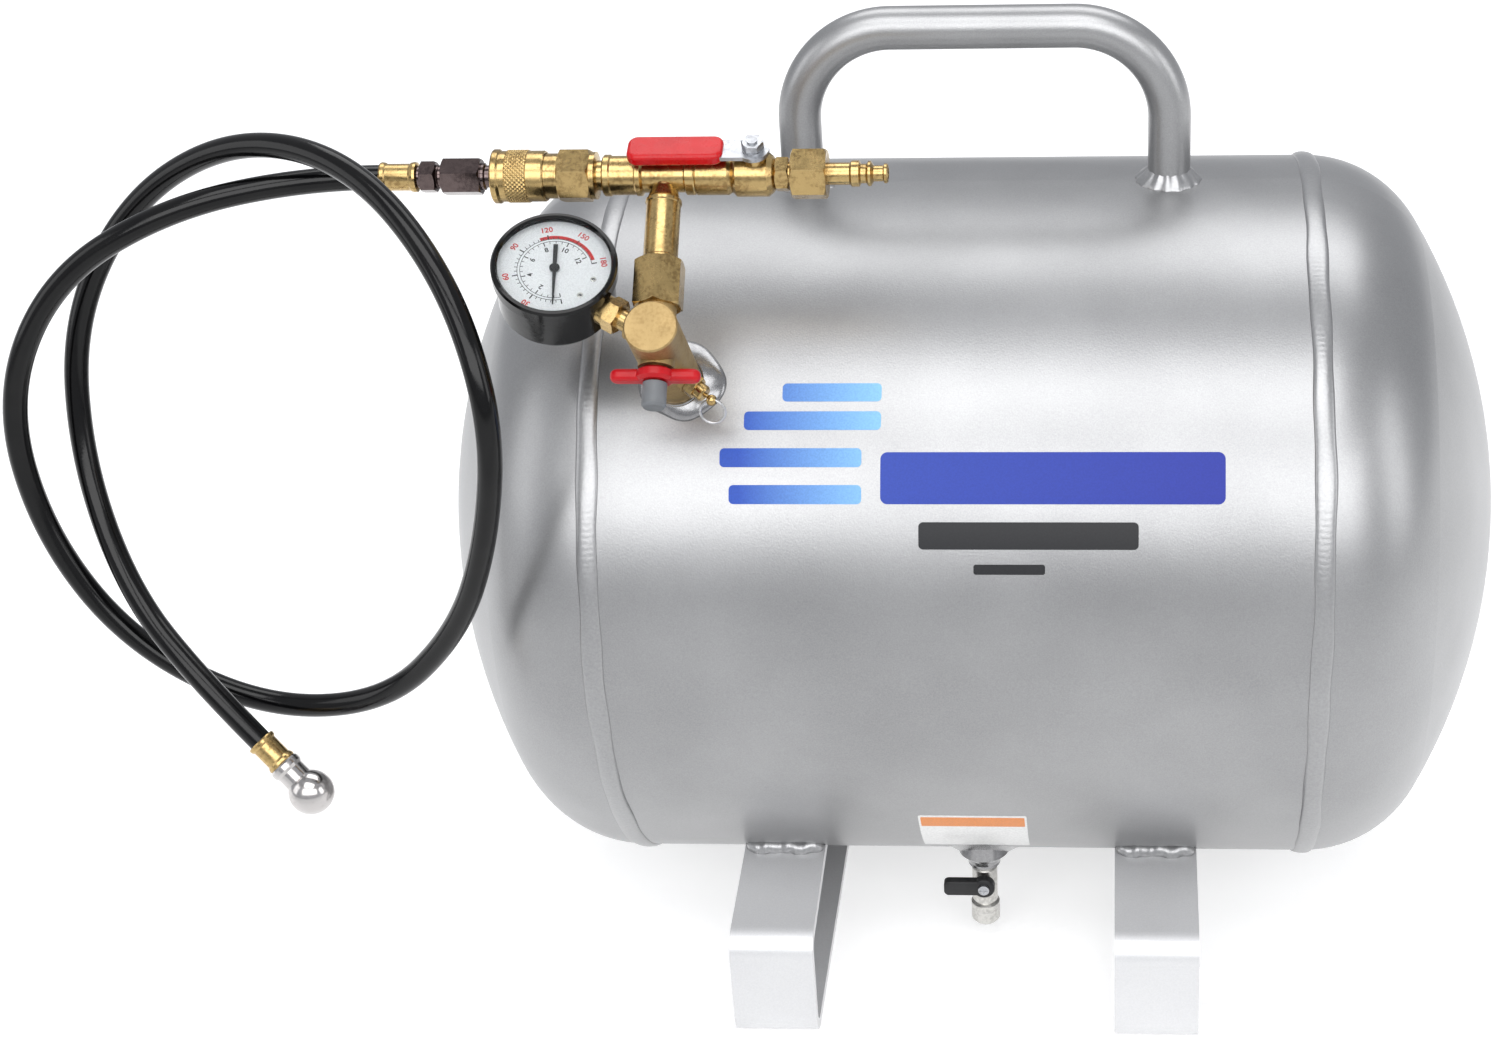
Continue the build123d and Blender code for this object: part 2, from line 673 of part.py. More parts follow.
# ================================================================ relief valve
def make_relief():
    bar = hexagon(RELIEF, 9, 12.5, 17)
    with BuildPart() as relief_body:
        add(bar)
        rod(RELIEF, 3.6, 6.5, 12.5)
        turn(RELIEF, [(0, 17), (3.6, 17), (3.6, 20.2), (3.0, 21), (0, 21)])
        rod(RELIEF, 1.6, 6, 9, mode=Mode.SUBTRACT)
        rod(RELIEF, 2.6, 8.5, 19.5, mode=Mode.SUBTRACT)
        rod(RELIEF, 1.1, 19, 22, mode=Mode.SUBTRACT)
    save(relief_body, "relief_body")

    with BuildPart() as relief_spring:
        with BuildLine():
            coil = Helix(pitch=1.6, height=6.4, radius=1.95, center=RELIEF.offset(12.4).origin,
                         direction=RELIEF.z_dir)
        with BuildSketch(Plane(origin=coil @ 0, z_dir=coil % 0)):
            Circle(0.3)
        sweep(is_frenet=True)
    save(relief_spring, "relief_spring")

    eye = RELIEF.offset(24.6)
    with BuildPart() as relief_stem:
        turn(RELIEF, [(0, 9.2), (2.3, 9.2), (2.3, 11.8), (1.0, 12.0), (1.0, 23), (0, 23)])
        with Locations(eye.location):
            Sphere(2.4)
        rod(Plane(origin=eye.origin, z_dir=(1, 0, 0)), 1.5, -4, 4, mode=Mode.SUBTRACT)
    save(relief_stem, "relief_stem")

    ring_r = 5.2
    middle = eye.origin - Vector(0, 0, ring_r)
    with BuildPart() as relief_ring:
        with BuildSketch(Plane(origin=middle)):
            with Locations((ring_r, 0)):
                Circle(0.6)
        revolve(axis=Axis(middle, (0, 1, 0)))
    save(relief_ring, "relief_ring")


# ================================================================ drain valve
def make_drain():
    with BuildPart() as drain_bung:
        turn(DRAIN, [
            (6.0, 126), (12.0, 126), (12.0, 134.5), (9.8, 136), (8.4, 138.2), (7.7, 140.6),
            (7.7, 142.0), (7.2, 142.5), (6.0, 142.5),
        ])
    save(drain_bung, "drain_bung")

    with BuildPart() as drain_weld:
        turn(DRAIN, [(12.0, 128), (16, 128), (16, 131), (13.2, 133.2), (12.0, 134.5)])
        cut_tank()
    save(drain_weld, "drain_weld")

    with BuildPart() as drain_body:
        turn(DRAIN, [
            (0, 134), (6.0, 134), (6.0, 142.5), (5.2, 142.5), (5.2, 144.2), (6.0, 145), (6.0, 163.4),
            (5.4, 164.2), (6.8, 165.2), (6.8, 174.4), (5.6, 176), (0, 176),
        ])
        rod(DRAIN, 2.4, 133, 176, mode=Mode.SUBTRACT)
        rod(DRAIN, 3.6, 168, 177, mode=Mode.SUBTRACT)
        rod(DRAIN_STEM, 3.2 + FIT, 0, 12, mode=Mode.SUBTRACT)
        with Locations(DRAIN_STEM.location):
            Sphere(4.4 + 0.3, mode=Mode.SUBTRACT)
    save(drain_body, "drain_body")

    with BuildPart() as drain_ball:
        with Locations(DRAIN_STEM.location):
            Sphere(4.4)
        with BuildSketch(DRAIN_STEM):
            Circle(2.0)
        extrude(amount=7.4)
        with BuildSketch(DRAIN_STEM.offset(4.8)):
            Circle(3.2)
        extrude(amount=2.6)
        across = Plane(origin=DRAIN_STEM.origin, x_dir=(0, 1, 0), z_dir=(1, 0, 0))
        rod(across, 2.0, -6, 6, mode=Mode.SUBTRACT)
    save(drain_ball, "drain_ball")

    with BuildPart() as drain_lever:
        with BuildSketch(DRAIN_STEM.offset(7.6)):
            Circle(5.2)
            with Locations((8.5, 0)):
                RectangleRounded(21, 8.0, 2.4)
        extrude(amount=4.2)
        face = drain_lever.faces().sort_by(Axis(DRAIN_STEM.origin, DRAIN_STEM.z_dir))[-1]
        fillet(face.edges(), 1.0)
        rod(DRAIN_STEM, 1.5, 6, 13, mode=Mode.SUBTRACT)
    save(drain_lever, "drain_lever")

    with BuildPart() as drain_screw:
        rod(DRAIN_STEM, 1.5, 7.4, 11.8)
        rod(DRAIN_STEM, 2.6, 11.8, 12.9)
        with BuildSketch(DRAIN_STEM.offset(12.4)):
            Rectangle(4.0, 0.7)
            Rectangle(0.7, 4.0)
        extrude(amount=1, mode=Mode.SUBTRACT)
    save(drain_screw, "drain_screw")



# ================================================================ hose
def route_radii():
    """Largest arc that each corner's two runs allow."""
    points = [Vector(*point) for point in HOSE_ROUTE]
    radii = []
    for before, corner, after in zip(points, points[1:], points[2:]):
        run_in = corner - before
        run_out = after - corner
        half_turn = math.radians(run_in.get_angle(run_out)) / 2
        radii.append(0.45 * min(run_in.length, run_out.length) / math.tan(half_turn))
    return radii


def make_hose():
    radii = route_radii()
    with BuildPart() as hose:
        with BuildLine() as route:
            FilletPolyline(*HOSE_ROUTE, radius=radii)
        with BuildSketch(Plane(origin=HOSE_START, x_dir=(0, 1, 0), z_dir=(-1, 0, 0))):
            Circle(HOSE_D / 2)
        sweep()
    save(hose, "hose")
    length = sum(edge.length for edge in route.edges())
    section = math.pi * HOSE_D**2 / 4
    print("hose length", round(length, 1), "radii", [round(radius) for radius in radii])
    print("hose volume", round(hose.part.volume), "section x length", round(section * length))


def make_hose_ends():
    near = Plane(origin=HOSE_START, x_dir=(0, 0, 1), z_dir=(1, 0, 0))
    with BuildPart() as ferrule_near:
        turn(near, [
            (0, 0), (6.1, 0), (6.3, 0.6), (6.1, 2), (5.6, 2.6), (5.6, 12.2), (6.1, 13),
            (6.3, 14.2), (6.1, 15.2), (4.6, 15.8), (0, 15.8),
        ])
        rod(near, 2.4, 0, 16, mode=Mode.SUBTRACT)
    save(ferrule_near, "ferrule_near")

    with BuildPart() as ferrule_far:
        turn(HOSE_TIP, [
            (2.4, 0), (6.3, 0), (6.6, 0.6), (6.4, 1.8), (5.7, 2.6), (5.7, 11.2), (6.4, 12.2),
            (6.6, 13.4), (6.2, 14.0), (2.4, 14.0),
        ])
    save(ferrule_far, "ferrule_far")

    with BuildPart() as chuck_neck:
        turn(HOSE_TIP, [
            (2.4, 14.0), (6.6, 14.0), (7.3, 14.8), (7.3, 17.0), (6.4, 18.4), (6.4, 24.5),
            (2.4, 24.5),
        ])
    save(chuck_neck, "chuck_neck")

    ball = HOSE_TIP.offset(31.5)
    mouth = Plane(origin=ball.origin, x_dir=HOSE_END_DIR, z_dir=(0.0, 0.8, -0.6))
    with BuildPart() as ball_chuck:
        with Locations(ball.location):
            Sphere(10.0)
        turn(mouth, [(0, 5), (7.2, 5), (7.2, 10.6), (6.4, 11.6), (0, 11.6)])
        rod(HOSE_TIP, 6.4, 14, 24.5, mode=Mode.SUBTRACT)
        rod(HOSE_TIP, 2.4, 14, 31.5, mode=Mode.SUBTRACT)
        rod(mouth, 4.2, 3, 13, mode=Mode.SUBTRACT)
    save(ball_chuck, "ball_chuck")


os.makedirs("parts", exist_ok=True)
make_shell()
make_heads()
make_girth_welds()
make_feet()
make_handle()
make_bung()
make_manifold_body()
make_riser()
make_tee()
make_ball_valve()
make_lever()
make_outlet()
make_coupler()
make_hose_plug()
make_gauge()
make_shutoff()
make_relief()
make_drain()
make_hose()
make_hose_ends()
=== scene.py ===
# %% [markdown]
# # A portable air tank with its manifold and hose
#
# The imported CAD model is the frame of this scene: every size and every moving body comes
# from it. What is added here is what a drawing of solids can't hold: rippled welds, a knurled
# sleeve, the print on the dial, a hose that hangs, and a finish for every surface.
# All lengths are metres.

# %% Load the frame
import json
import math
import bpy
import numpy as np
from mathutils import Matrix, Vector


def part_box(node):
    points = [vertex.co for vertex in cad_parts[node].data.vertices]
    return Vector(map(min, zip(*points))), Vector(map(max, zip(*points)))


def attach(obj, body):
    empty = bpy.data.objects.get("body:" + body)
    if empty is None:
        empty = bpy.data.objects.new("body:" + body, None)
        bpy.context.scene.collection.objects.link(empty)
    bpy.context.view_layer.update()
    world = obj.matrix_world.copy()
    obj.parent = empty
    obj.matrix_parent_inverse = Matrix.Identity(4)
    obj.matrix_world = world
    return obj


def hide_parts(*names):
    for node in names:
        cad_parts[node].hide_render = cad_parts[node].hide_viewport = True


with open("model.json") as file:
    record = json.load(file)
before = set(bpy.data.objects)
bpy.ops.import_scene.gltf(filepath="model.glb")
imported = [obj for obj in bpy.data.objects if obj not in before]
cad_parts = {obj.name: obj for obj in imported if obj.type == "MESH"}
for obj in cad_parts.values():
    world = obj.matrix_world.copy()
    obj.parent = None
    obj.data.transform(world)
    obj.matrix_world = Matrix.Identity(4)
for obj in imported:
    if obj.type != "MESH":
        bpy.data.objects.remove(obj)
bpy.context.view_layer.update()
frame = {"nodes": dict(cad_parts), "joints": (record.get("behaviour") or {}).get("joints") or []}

nodes = frame["nodes"]

# %% [markdown]
# ## Camera
#
# A longish lens stands a metre in front of the tank and looks down on it by about 29 degrees,
# so the cylinder shows its top and the feet still show their inside. The lens is shifted
# sideways instead of turned, because the hose makes the subject much wider on one side.

# %% Camera
camera_data = bpy.data.cameras.new("camera")
camera_data.sensor_width = 36.0
camera_data.lens = 60.65
camera_data.shift_x = -0.134
camera_data.clip_start = 0.05
camera = bpy.data.objects.new("camera", camera_data)
bpy.context.scene.collection.objects.link(camera)
camera.matrix_world = (
    Matrix.Translation((0.06987, -1.07315, 0.76538))
    @ Matrix.Rotation(math.radians(4.34), 4, "Z")
    @ Matrix.Rotation(math.radians(90 - 28.68), 4, "X")
    @ Matrix.Rotation(math.radians(-2.02), 4, "Z")
)
bpy.context.scene.camera = camera
bpy.context.scene.view_settings.view_transform = "Standard"
print("camera stands at", [round(value, 3) for value in camera.matrix_world.translation])

# %% [markdown]
# ## How the surfaces are made
#
# Every new piece is a grid: a function of two parameters worked out as whole numpy arrays.
# A weld bead or a turned ring is a closed loop carried round a closed loop, so both
# directions of its grid are joined and there is no edge left open. A short bead is a tube
# whose two ends are closed by a cap.

# %% Grid helpers
def ring_faces(rows, columns, first=0, join_rows=True):
    """Quads of a grid whose columns, and rows if asked, run round and meet themselves."""
    row = np.arange(rows if join_rows else rows - 1)[:, None]
    column = np.arange(columns)[None, :]
    next_row = (row + 1) % rows
    next_column = (column + 1) % columns
    corners = [row * columns + column, row * columns + next_column,
               next_row * columns + next_column, next_row * columns + column]
    return np.stack(corners, axis=-1).reshape(-1, 4) + first


# %% Which way a closed form faces
def signed_volume(mesh):
    """Signed volume: a sixth of the sum of each triangle's corner a . (b x c)."""
    mesh.calc_loop_triangles()
    corners = np.empty(len(mesh.loop_triangles) * 3, dtype=np.int32)
    mesh.loop_triangles.foreach_get("vertices", corners)
    places = np.empty(len(mesh.vertices) * 3)
    mesh.vertices.foreach_get("co", places)
    a, b, c = places.reshape(-1, 3)[corners.reshape(-1, 3)].transpose(1, 0, 2)
    return float(np.einsum("ij,ij->", a, np.cross(b, c)) / 6)


# %% New pieces
def add_piece(name, points, faces, body, slot_name, sharp_angle=40):
    """Puts points (n, 3) and faces into a new smooth-shaded object, its normals outwards."""
    mesh = bpy.data.meshes.new(name)
    mesh.from_pydata(points.tolist(), [], [list(face) for face in faces])
    mesh.update()
    volume = signed_volume(mesh)
    if volume < 0:
        mesh.flip_normals()
    mesh.shade_smooth()
    mesh.set_sharp_from_angle(angle=math.radians(sharp_angle))
    piece = bpy.data.objects.new(name, mesh)
    bpy.context.scene.collection.objects.link(piece)
    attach(piece, body)
    print(name, "faces", len(mesh.polygons), "volume mm3", round(abs(volume) * 1e9))
    return piece

# %% [markdown]
# ## Hose
#
# The whip hose is springy rubber about 10 mm thick, of medium stiffness. It leaves the coupler
# level, arches over, hangs in one big loop and crosses in front of its own start before it
# ends in a ball chuck.
# A NURBS spline of order 3 rounds every corner of the route by itself, which is how rubber
# bends: no corner, no straight run. The control points are the CAD route's own points. The
# tube is then a circle carried along that line.

# %% Hose route
HOSE_DIAMETER = 0.0104
HOSE_ROUTE = np.array([
    (-236, -99.6, 394.3), (-268, -99.6, 394.3), (-325, -115, 387), (-378, -120, 357),
    (-407, -124, 303), (-401, -129, 241), (-371, -132, 187), (-315, -138, 157),
    (-254, -148, 166), (-212, -163, 212), (-190, -177, 265), (-178, -188, 327),
    (-198, -160, 378), (-240, -126, 412), (-296, -98, 412), (-350, -85, 381),
    (-384, -92, 328), (-387, -107, 267), (-366, -134, 215), (-331, -158, 183),
    (-306, -167, 158.3),
]) / 1000.0

guide_curve = bpy.data.curves.new("hose_guide", "CURVE")
guide_curve.dimensions = "3D"
guide_line = guide_curve.splines.new("NURBS")
guide_line.points.add(len(HOSE_ROUTE) - 1)
guide_line.points.foreach_set("co", np.column_stack([HOSE_ROUTE, np.ones(len(HOSE_ROUTE))]).ravel())
guide_line.order_u = 3
guide_line.use_endpoint_u = True
guide_line.resolution_u = 16
guide = bpy.data.objects.new("hose_guide", guide_curve)
guide_mesh = bpy.data.meshes.new_from_object(guide)
hose_centre = np.empty(len(guide_mesh.vertices) * 3)
guide_mesh.vertices.foreach_get("co", hose_centre)
hose_centre = hose_centre.reshape(-1, 3)
bpy.data.objects.remove(guide)
bpy.data.meshes.remove(guide_mesh)
hose_length = np.linalg.norm(np.diff(hose_centre, axis=0), axis=1).sum()
print("hose line has", len(hose_centre), "points and is", round(float(hose_length), 4), "m long")

# %% Hose tube
def tube_along(line, radius, sides):
    """Circle carried along a line. One axis of the circle is world y less its share along
    the line, the other is the cross product of the two, so the tube never twists."""
    along = np.gradient(line, axis=0)
    along /= np.linalg.norm(along, axis=1)[:, None]
    across = np.array([0, 1.0, 0]) - along[:, 1:2] * along
    across /= np.linalg.norm(across, axis=1)[:, None]
    third = np.cross(along, across)
    turn = np.linspace(0, 2 * np.pi, sides, endpoint=False)[None, :, None]
    places = line[:, None] + radius * (np.cos(turn) * across[:, None]
                                       + np.sin(turn) * third[:, None])
    last = (len(line) - 1) * sides
    faces = ring_faces(len(line), sides, join_rows=False).tolist()
    faces += [list(range(sides - 1, -1, -1)), list(range(last, last + sides))]
    return places.reshape(-1, 3), faces


hose_tube = add_piece("hose_tube", *tube_along(hose_centre, HOSE_DIAMETER / 2, 28),
                      "tank", "black_rubber", 60)

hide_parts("hose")

# %% [markdown]
# ## Studio
#
# Silver paint shows whatever surrounds it, so the light matters more than the paint. The
# tank stands on a pale sweep under a key light high in front, which lays the soft shadow of the
# pipework on the shell. A long low one in front widens the highlight, a broader one behind
# draws the top edge, a weak one lights each side, and the surround is plain grey.

# %% Floor
floor_mesh = bpy.data.meshes.new("floor")
FLOOR_HALF = 6.0
floor_mesh.from_pydata(
    [(-FLOOR_HALF, -FLOOR_HALF, 0), (FLOOR_HALF, -FLOOR_HALF, 0),
     (FLOOR_HALF, FLOOR_HALF, 0), (-FLOOR_HALF, FLOOR_HALF, 0)], [], [(0, 1, 2, 3)])
floor = bpy.data.objects.new("floor", floor_mesh)
bpy.context.scene.collection.objects.link(floor)
print("floor is", 2 * FLOOR_HALF, "m wide")

# %% Lights
def soft_light(name, place, aim, width, height, power):
    """Area light of a width and height that looks from its place towards its aim."""
    lamp = bpy.data.lights.new(name, "AREA")
    lamp.shape = "RECTANGLE"
    lamp.size = width
    lamp.size_y = height
    lamp.energy = power
    holder = bpy.data.objects.new(name, lamp)
    bpy.context.scene.collection.objects.link(holder)
    holder.location = place
    holder.rotation_euler = (Vector(aim) - Vector(place)).to_track_quat("-Z", "Y").to_euler()
    return holder


soft_light("key", (-0.1, -1.05, 2.25), (0, 0, 0.2), 1.9, 1.0, 19)
soft_light("front", (0.1, -1.9, 1.35), (0, 0, 0.25), 3.0, 1.1, 32)
soft_light("overhead", (0.1, 0.9, 2.1), (0, 0, 0.25), 2.2, 1.0, 18)
soft_light("left_fill", (-2.2, -0.7, 1.0), (0, 0, 0.25), 1.0, 1.4, 6)
soft_light("right_fill", (2.2, -0.8, 1.0), (0, 0, 0.25), 0.9, 1.4, 8)
print("5 soft lights")

# %% Surround
surround = bpy.data.worlds.new("studio")
bpy.context.scene.world = surround
surround.use_nodes = True
surround_nodes = surround.node_tree.nodes
surround_nodes["Background"].inputs["Color"].default_value = (0.93, 0.95, 1.0, 1.0)
surround_nodes["Background"].inputs["Strength"].default_value = 0.55
print("surround strength", surround_nodes["Background"].inputs["Strength"].default_value)

# %% Sizes read from the frame
shell_low, shell_high = (Vector(corner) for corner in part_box("tank_shell"))
TANK_RADIUS = (shell_high.z - shell_low.z) / 2
TANK_HEIGHT = (shell_high.z + shell_low.z) / 2
print("tank radius", round(TANK_RADIUS, 4), "axis height", round(TANK_HEIGHT, 4))

# %% [markdown]
# ## Girth welds
#
# The two heads are joined to the shell by one bead each, laid while the tank turns under the
# torch. Each pulse of the arc leaves a crescent that overlaps the last, so the crown carries
# fine ripples that bow backwards, and the edge wanders a little. The CAD bead is a plain
# ring: here the same ring gets its ripples as real relief, since light grazes along it.

# %% Girth welds
def girth_bead(node_name, name):
    """Lens section carried round the tank. Height = proud x sine of the section angle, times
    one plus a ripple that lags towards the edges; half width wanders with a few slow waves."""
    low, high = (Vector(corner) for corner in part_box(node_name))
    centre = (low.x + high.x) / 2
    half_width = 0.0045
    proud = (high.z - low.z) / 2 - TANK_RADIUS
    around = np.linspace(0, 2 * np.pi, 2300, endpoint=False)[:, None]
    section = np.linspace(0, 2 * np.pi, 20, endpoint=False)[None, :]
    wander = 1 + 0.05 * np.sin(11 * around + centre * 40) + 0.035 * np.sin(29 * around)
    drift = 0.0004 * np.sin(5 * around + 1) + 0.0002 * np.sin(17 * around)
    along = centre + drift + half_width * wander * np.cos(section)
    lag = 2.2 * np.cos(section) ** 2
    ripple = 0.008 * np.cos(400 * around - lag) + 0.03 * np.sin(23 * around)
    crown = np.sin(section)
    rise = np.where(crown > 0, 0.88 * proud * crown * (1 + ripple), 0.0012 * crown)
    radius = TANK_RADIUS - 0.0001 + rise
    points = np.stack([along + 0 * radius, radius * np.sin(around),
                       TANK_HEIGHT + radius * np.cos(around)], axis=-1)
    piece = add_piece(name, points.reshape(-1, 3), ring_faces(*radius.shape),
                      "tank", "weld_bead", 180)
    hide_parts(node_name)
    return piece


girth_beads = [girth_bead("girth_weld_left", "girth_bead_left"),
               girth_bead("girth_weld_right", "girth_bead_right")]

# %% [markdown]
# ## Welds round the handle, the manifold boss and the drain boss
#
# These are fillets round a bar that stands on the curved shell. The two handle legs have a
# puddled bead with lobes, one per dab of filler. The boss under the manifold has been dressed
# and painted over, so its pad is smooth, low and uneven in outline. One function makes them
# all: a section swept round the bar, dropped onto the cylinder.

# %% Fillet round a bar
def root_ring(centre_x, lean, offset, bar_radius, reach, rise, hollow, lobes, lobe_depth, seed):
    """Section round a bar that leans from the vertical. At each angle the distance from the
    bar runs out and back; the height is the cylinder's own, the square root of radius
    squared less sideways distance squared, plus a crown: rise times the share of the way left, to a
    power that is under one for a puddle and over one for a hollow flare."""
    up = np.array([0, -math.sin(lean), math.cos(lean)])
    side = np.array([0, math.cos(lean), math.sin(lean)])
    turn = np.linspace(0, 2 * np.pi, 300, endpoint=False)[:, None]
    out = np.concatenate([np.linspace(0, 1, 16), np.linspace(1, 0, 5)])[None, :]
    on_top = (np.arange(21) < 16)[None, :]
    edge = reach * (1 + seed[0] * np.cos(turn - seed[1]) + seed[2] * np.cos(2 * turn + 1.1)
                    + seed[3] * np.cos(5 * turn + 0.4))
    edge = edge * (1 + 0.5 * lobe_depth * np.cos(lobes * turn))
    distance = bar_radius - 0.0006 + (edge - bar_radius) * out
    lobe = 1 + lobe_depth * np.cos(lobes * turn - 2.0 * out)
    crown = rise * lobe * (1 - out) ** hollow - 0.0002 * out
    lift = np.where(on_top, crown, -0.0016)
    x_part = distance * np.cos(turn)
    side_part = distance * np.sin(turn)
    height = np.sqrt(TANK_RADIUS ** 2 - (side_part + offset) ** 2) + lift
    places = (x_part[..., None] * np.array([1.0, 0, 0])
              + (side_part + offset)[..., None] * side + height[..., None] * up)
    places = places + np.array([centre_x, 0, TANK_HEIGHT])
    return places.reshape(-1, 3), ring_faces(*height.shape)


# %% Handle welds
handle_low, handle_high = (Vector(corner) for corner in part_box("handle"))
HANDLE_RADIUS = (handle_high.y - handle_low.y) / 2
leg_points, leg_faces, first = [], [], 0
for leg_x, tilt in ((handle_low.x + HANDLE_RADIUS, 0.7), (handle_high.x - HANDLE_RADIUS, 2.4)):
    ring, quads = root_ring(leg_x, 0.0, 0.0, HANDLE_RADIUS, 0.0152, 0.0058, 0.75, 15, 0.04,
                            (0.05, tilt, 0.03, 0.02))
    leg_points.append(ring)
    leg_faces.append(quads + first)
    first += len(ring)
handle_beads = add_piece("handle_beads", np.concatenate(leg_points), np.concatenate(leg_faces),
                         "tank", "weld_bead", 180)
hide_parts("handle_welds")

# %% Manifold and drain welds
bung_low, bung_high = (Vector(corner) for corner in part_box("manifold_bung"))
MANIFOLD_LEAN = math.radians(90 - 46)
MANIFOLD_X = (bung_low.x + bung_high.x) / 2
BUNG_RADIUS = (bung_high.x - bung_low.x) / 2
ring, quads = root_ring(MANIFOLD_X, MANIFOLD_LEAN, 0.0, BUNG_RADIUS, 0.0192, 0.0040, 0.5, 3,
                        0.03, (0.13, 1.05, 0.05, 0.03))
manifold_pad = add_piece("manifold_pad", ring, quads, "tank", "weld_blob", 180)
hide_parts("manifold_weld")

drain_low, drain_high = (Vector(corner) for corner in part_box("drain_bung"))
DRAIN_X = (drain_low.x + drain_high.x) / 2
DRAIN_Y = (drain_low.y + drain_high.y) / 2
ring, quads = root_ring(DRAIN_X, math.pi, -DRAIN_Y, (drain_high.x - drain_low.x) / 2, 0.0180,
                        0.0030, 1.6, 9, 0.02, (0.05, 1.5, 0.03, 0.02))
drain_bead = add_piece("drain_bead", ring, quads, "tank", "weld_blob", 180)
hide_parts("drain_weld")

# %% [markdown]
# ## Welds on the feet
#
# Each foot is a flat bar bent into a wide U, with both ends turned in and welded along their
# top edge. That weld is a short stringer: a fat wavy bead in the wedge between the bar and
# the shell. It is a tube whose radius swells with every dab and shrinks to a cap at its ends.

# %% Foot welds
FOOT_BEAD_RADIUS = 0.0039
FOOT_BEAD_REACH = 0.1098


def foot_beads(foot_node, weld_node, name):
    """Two tubes along x. Radius = bead radius x an end taper x one plus a wave."""
    foot_low, foot_high = (Vector(corner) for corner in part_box(foot_node))
    weld_top = Vector(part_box(weld_node)[1]).z
    middle = (foot_low.x + foot_high.x) / 2
    half = (foot_high.x - foot_low.x) / 2 - 0.0008
    walk = np.linspace(-1, 1, 150)[:, None]
    turn = np.linspace(0, 2 * np.pi, 26, endpoint=False)[None, :]
    taper = np.sqrt(np.clip(1 - np.abs(walk) ** 9, 0.0004, 1))
    points, faces = [], []
    for front in (-1, 1):
        wave = np.cos(24 * walk + front) + 0.5 * np.sin(9 * walk + middle * 50)
        radius = FOOT_BEAD_RADIUS * taper * (1 + 0.035 * wave)
        bead_y = front * (FOOT_BEAD_REACH + 0.0006 * np.sin(7 * walk + front))
        bead_z = weld_top - 0.0040 + 0.0005 * np.sin(11 * walk)
        grid = np.stack([middle + half * walk + 0 * turn, bead_y + radius * np.cos(turn),
                         bead_z + radius * np.sin(turn)], axis=-1)
        first = sum(len(part) for part in points)
        points.append(grid.reshape(-1, 3))
        faces += ring_faces(150, 26, first, join_rows=False).tolist()
        faces.append(list(range(first + 25, first - 1, -1)))
        faces.append(list(range(first + 149 * 26, first + 150 * 26)))
    piece = add_piece(name, np.concatenate(points), faces, "tank", "weld_bead", 180)
    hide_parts(weld_node)
    return piece


foot_bead_pieces = [foot_beads("foot_left", "foot_weld_left", "foot_beads_left"),
                    foot_beads("foot_right", "foot_weld_right", "foot_beads_right")]

# %% [markdown]
# ## Knurled coupler sleeve
#
# The quick coupler lets go when its brass sleeve is pulled back, so the sleeve is knurled to
# give fingers a grip. A diamond knurl is two sets of spiral grooves that cross. Texture alone
# would look flat at the outline, so the grooves are cut in the mesh.

# %% Coupler sleeve
sleeve_low, sleeve_high = (Vector(corner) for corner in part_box("coupler_sleeve"))
SLEEVE_PROFILE = np.array([
    (7.8, 0.4), (10.4, 0.0), (10.9, 0.15), (11.2, 0.6), (11.2, 2.6), (10.9, 2.9), (10.5, 3.4),
    (10.5, 5.9), (10.9, 6.1), (10.9, 14.9), (10.5, 15.1), (10.5, 21.4), (10.1, 22.0),
    (9.65, 22.0), (9.65, 6.4), (7.8, 6.4),
]) / 1000.0


def along_profile(profile, step):
    """Closed outline with extra points so that no two are more than a step apart."""
    ahead = np.roll(profile, -1, axis=0)
    spans = np.ceil(np.linalg.norm(ahead - profile, axis=1) / step).astype(int)
    parts = [start + (end - start) * (np.arange(count) / count)[:, None]
             for start, end, count in zip(profile, ahead, spans)]
    return np.concatenate(parts)


def coupler_sleeve_points():
    """Profile turned about the pipe run. On the band, the radius drops by under half a
    millimetre times the sharper of two crossing spiral cosines."""
    outline = along_profile(SLEEVE_PROFILE, 0.00028)
    turn = np.linspace(0, 2 * np.pi, 432, endpoint=False)[:, None]
    radius, along = outline[:, 0][None, :], outline[:, 1][None, :]
    on_band = (radius > 0.01085) & (along > 0.006) & (along < 0.015)
    spiral = 2 * np.pi * along / 0.0019
    groove = np.maximum(np.cos(36 * turn + spiral), np.cos(36 * turn - spiral))
    radius = radius - np.where(on_band, 0.00042 * np.clip(groove, 0, 1), 0)
    axis_y = (sleeve_low.y + sleeve_high.y) / 2
    axis_z = (sleeve_low.z + sleeve_high.z) / 2
    grid = np.stack([sleeve_low.x + along + 0 * turn, axis_y + radius * np.cos(turn),
                     axis_z + radius * np.sin(turn)], axis=-1)
    return grid.reshape(-1, 3), ring_faces(*radius.shape)


knurled_sleeve = add_piece("knurled_sleeve", *coupler_sleeve_points(),
                           "coupler_sleeve", "brass", 50)
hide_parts("coupler_sleeve")

# %% [markdown]
# ## Print on the dial
#
# The gauge reads from zero at the lower left, clockwise through three quarters of a turn. Its
# card carries a ticked outer scale with red numbers, a red arc over the top of the range, and a
# finer inner scale in grey. On the real card this is ink. Here every mark is a sliver of its
# own a twentieth of a millimetre thick, so it stays crisp however close the camera comes.

